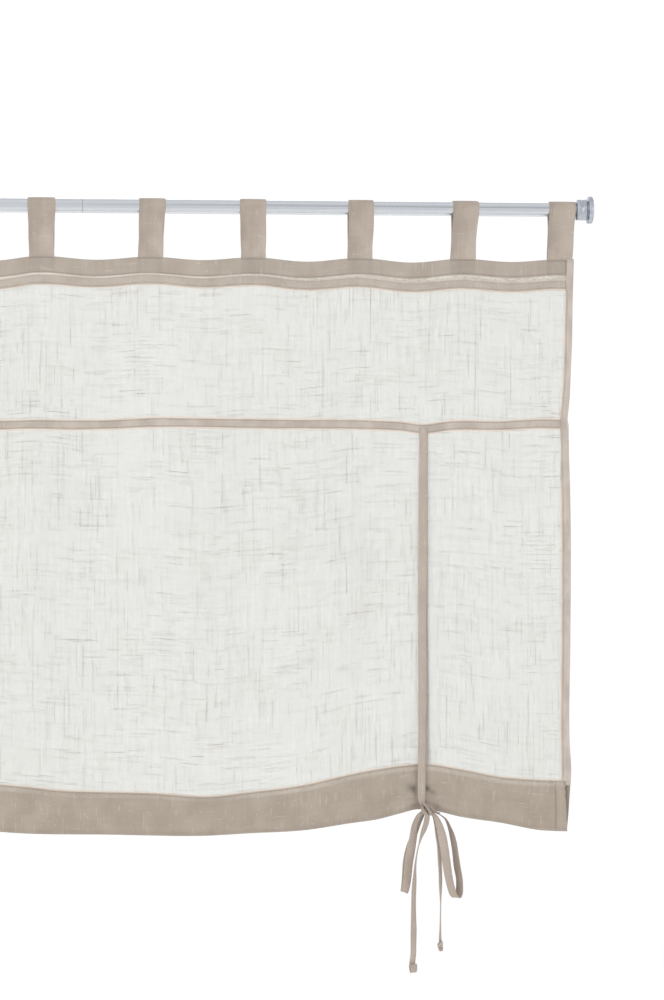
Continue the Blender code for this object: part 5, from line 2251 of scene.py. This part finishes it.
@dataclass(frozen=True)
class TiePair:
    """The two tapes of one tie: the back one, and the front one tied into its bow."""

    side: Side
    knot_half_size: Place = (0.0058, 0.0046, 0.0066)
    wrap_thickness: float = 0.0008

    def lump(self, name: str, lump: Lump, wardrobe: Wardrobe) -> Piece:
        """The core of a knot as a piece."""
        obj = build_grid(f"{name}_{self.side.label}", lump.grid(self.side))
        return add_piece(obj, wardrobe.tape)

    def bow_knot(self, hang: HangingSurface, wardrobe: Wardrobe) -> list[Piece]:
        """The bow's knot: its packed core and three short turns of tape over it.

        Args:
            hang: the hanging surface.
            wardrobe: the finishes.

        Returns:
            The pieces.
        """
        core = Lump(from_knot((0.0004, 0.0, 0.0)), self.knot_half_size, 0.10, 0.55)
        pieces = [self.lump("knot_core", core, wardrobe)]
        turns = (
            ("knot_strap", KNOT_STRAP),
            ("knot_wing", KNOT_WING),
            ("knot_collar", KNOT_COLLAR),
        )
        for name, rows in turns:
            pieces.append(Tape(name, rows, base=KNOT).build(self.side, hang, wardrobe))
        return pieces

    def tail_knot(self, wardrobe: Wardrobe) -> list[Piece]:
        """The small knot at the short tail's end: a core, a turn round it and a stub below.

        Args:
            wardrobe: the finishes.

        Returns:
            The pieces.
        """
        core = Lump(from_knot((0.0196, 0.0058, -0.1932)), (0.0036, 0.0032, 0.0050), 0.20, 0.10)
        stub = Lump(from_knot((0.0204, 0.0056, -0.1985)), (0.0030, 0.0022, 0.0030), 0.24, 0.16)
        wrap = Wrap(from_knot((0.0196, 0.0058, -0.1915)), (0.0040, 0.0034), -34, 0.0036, 0.0007)
        obj = build_grid(f"tail_knot_turn_{self.side.label}", wrap.grid(self.side))
        add_piece(obj, wardrobe.tape, thickness=self.wrap_thickness)
        cores = (("tail_knot_core", core), ("tail_knot_stub", stub))
        return [obj, *(self.lump(name, lump, wardrobe) for name, lump in cores)]

    def build(self, hang: HangingSurface, wardrobe: Wardrobe) -> None:
        """The long tapes, the knots, the two loops and the two tails.

        Args:
            hang: the hanging surface.
            wardrobe: the finishes.
        """
        label = self.side.label
        front = Tape("tape_front", FRONT_TAPE, follows_cloth=True)
        back = Tape("tape_back", BACK_TAPE, follows_cloth=True)
        front.build(self.side, hang, wardrobe, "hung", (f"tie_front_{label}",))
        back.build(self.side, hang, wardrobe, "hung", (f"tie_back_{label}",))
        routes = (
            ("bow_loop_inner", INNER_LOOP, "folded", 22.0, 0.54, self.bow_knot(hang, wardrobe)),
            ("bow_loop_outer", OUTER_LOOP, "folded", 0.0, 0.48, []),
            ("bow_tail_long", LONG_TAIL, "hung", 4.0, 2.0, []),
            ("bow_tail_short", SHORT_TAIL, "hung", 0.0, 2.0, self.tail_knot(wardrobe)),
        )
        for name, rows, held, lean, dim_from, knots in routes:
            tape = Tape(name, rows, base=KNOT, lean=lean, dim_from=dim_from)
            tape.build(self.side, hang, wardrobe, held, knots=knots)


@dataclass(frozen=True)
class Studio:
    """The pale floor, the soft light and the camera."""

    camera_place: Place = (-0.0568, -3.9125, -0.4127)
    camera_yaw: float = 4.55
    lens: float = 100.0
    sensor: float = 36.0
    floor_z: float = -1.42
    floor_radius: float = 3.2
    floor_glow: float = 0.17
    floor_tones: tuple[Tone, Tone] = ((243, 242, 239), (250, 249, 247))
    backdrop: float = 1.02
    sky: tuple[tuple[float, float], ...] = (
        (-1.0, 0.60),
        (-0.92, 0.62),
        (-0.66, 0.74),
        (-0.40, 0.82),
        (-0.24, 0.82),
        (-0.06, 0.72),
        (0.32, 0.74),
        (0.72, 0.73),
        (0.86, 0.82),
        (1.0, 0.74),
    )

    def floor(self) -> Piece:
        """A round floor whose colour thins out to nothing towards its rim.

        Returns:
            The floor.
        """
        radius = np.linspace(1e-3, 1, 40) * self.floor_radius
        angle = np.linspace(0, 2 * math.pi, 72, endpoint=False)
        radius, angle = np.meshgrid(radius, angle, indexing="ij")
        flat = np.full_like(radius, self.floor_z)
        points = joined(radius * np.cos(angle), radius * np.sin(angle), flat)
        rim = ramp((radius / self.floor_radius - 0.25) / 0.7)
        obj = build_grid("floor", Grid(points, points[..., :2], {"rim": rim}, round_columns=True))
        material, bench = new_material("pale_floor")
        grain = bench.noise(bench.object_place(), (30, 30, 30), 0.0, 3.0)
        colour = bench.blend(grain, *self.floor_tones)
        glow = {"Emission Color": (1.0, 1.0, 1.0, 1.0), "Emission Strength": self.floor_glow}
        inputs = {"Base Color": colour, "Roughness": 0.9, "Specular IOR Level": 0.1, **glow}
        matt = bench.shader("Principled", inputs)
        clear = bench.add("ShaderNodeBsdfTransparent")
        bench.show(bench.mix_shaders(bench.mark("rim"), matt.outputs[0], clear.outputs[0]))
        obj.data.materials.append(material)
        return obj

    def world(self) -> None:
        """White all round for the eye, and soft light in level bands that the metal mirrors."""
        world = bpy.context.scene.world or bpy.data.worlds.new("studio")
        bpy.context.scene.world = world
        world.use_nodes = True
        bench = NodeBench(world.node_tree)
        split = bench.add("ShaderNodeSeparateXYZ")
        bench.feed(split.inputs[0], bench.add("ShaderNodeTexCoord").outputs["Generated"])
        height = bench.plus(bench.times(split.outputs[2], 0.5), 0.5)
        tones = bench.add("ShaderNodeValToRGB")
        bench.feed(tones.inputs["Fac"], height)
        stops = tones.color_ramp.elements
        ends = {-1.0: 0, 1.0: -1}
        for level, strength in self.sky:
            stop = stops[ends[level]] if level in ends else stops.new(level / 2 + 0.5)
            stop.color = (strength * 0.975, strength * 0.985, strength, 1.0)
        sky = bench.add("ShaderNodeBackground")
        bench.feed(sky.inputs["Color"], tones.outputs["Color"])
        white = bench.add("ShaderNodeBackground")
        white.inputs["Color"].default_value = (1.0, 1.0, 1.0, 1.0)
        white.inputs["Strength"].default_value = self.backdrop
        seen = bench.add("ShaderNodeLightPath").outputs["Is Camera Ray"]
        output = bench.add("ShaderNodeOutputWorld")
        bench.feed(output.inputs["Surface"], bench.mix_shaders(seen, sky.outputs[0], white.outputs[0]))

    def lamp(
        self,
        name: str,
        place: Place,
        size: tuple[float, float],
        power: float,
        aim: Place = (0.0, 0.0, -0.45),
    ) -> None:
        """A soft rectangular light.

        Args:
            name: its name.
            place: where it hangs.
            size: its width and height.
            power: its strength in watts.
            aim: the point that it faces.
        """
        light = bpy.data.lights.new(name, "AREA")
        light.shape = "RECTANGLE"
        light.size, light.size_y = size
        light.energy = power
        obj = bpy.data.objects.new(name, light)
        bpy.context.scene.collection.objects.link(obj)
        place, aim = np.array(place), np.array(aim)
        back = (place - aim) / np.linalg.norm(place - aim)
        yaw = math.atan2(back[0], -back[1])
        pitch = math.asin(back[2])
        obj.location = place
        obj.rotation_euler = (math.pi / 2 - pitch, 0.0, yaw)

    def camera(self) -> None:
        """A long lens square to the floor, turned a little to the right."""
        data = bpy.data.cameras.new("view")
        data.lens = self.lens
        data.sensor_width = self.sensor
        data.clip_end = 60
        camera = bpy.data.objects.new("view", data)
        bpy.context.scene.collection.objects.link(camera)
        camera.location = self.camera_place
        camera.rotation_euler = (math.pi / 2, 0.0, -math.radians(self.camera_yaw))
        bpy.context.scene.camera = camera

    def build(self) -> None:
        """Everything round the object."""
        bpy.context.scene.view_settings.view_transform = "Standard"
        self.camera()
        self.floor()
        self.world()
        self.lamp("key", (-2.1, -2.6, 1.1), (1.6, 1.2), 33)
        self.lamp("fill", (2.4, -2.4, 0.1), (1.4, 1.8), 11.5)
        self.lamp("back", (0.6, 2.6, 0.9), (2.2, 1.2), 16)


def clear_startup() -> None:
    """Removes the objects that a new Blender scene starts with."""
    for name in ("Cube", "Light", "Camera"):
        if name in bpy.data.objects:
            bpy.data.objects.remove(bpy.data.objects[name], do_unlink=True)


def main() -> None:
    """Builds the studio and every piece of the blind, in order."""
    clear_startup()
    Studio().build()
    hang = HangingSurface()
    wardrobe = Wardrobe.make()
    Rod().build(wardrobe)
    for side in Side:
        EndCap(side).build(wardrobe)
    VoilePanel().build(hang, wardrobe)
    heading, band, hem = HeadingBand(), CrossBand(), HemTunnel()
    heading.build(hang, wardrobe)
    band.build(hang, wardrobe)
    hem.build(hang, wardrobe)
    for number, tab in enumerate(TABS, start=1):
        TabStrip(number, tab).build(hang, wardrobe)
    bindings = [SideBinding(side) for side in Side]
    for binding in bindings:
        binding.build(hang, wardrobe)
    for side in Side:
        TiePair(side).build(hang, wardrobe)
    needle = Stitching()
    for face in Face:
        paths = heading.seams(hang, face) + hem.seams(hang, face)
        paths += [binding.seam(hang, face) for binding in bindings]
        needle.sew(f"stitches_{face.name.lower()}", paths, face, wardrobe.thread)
    needle.sew("stitches_band", band.seams(hang), Face.FRONT, wardrobe.thread)


if __name__ == "__main__":
    main()
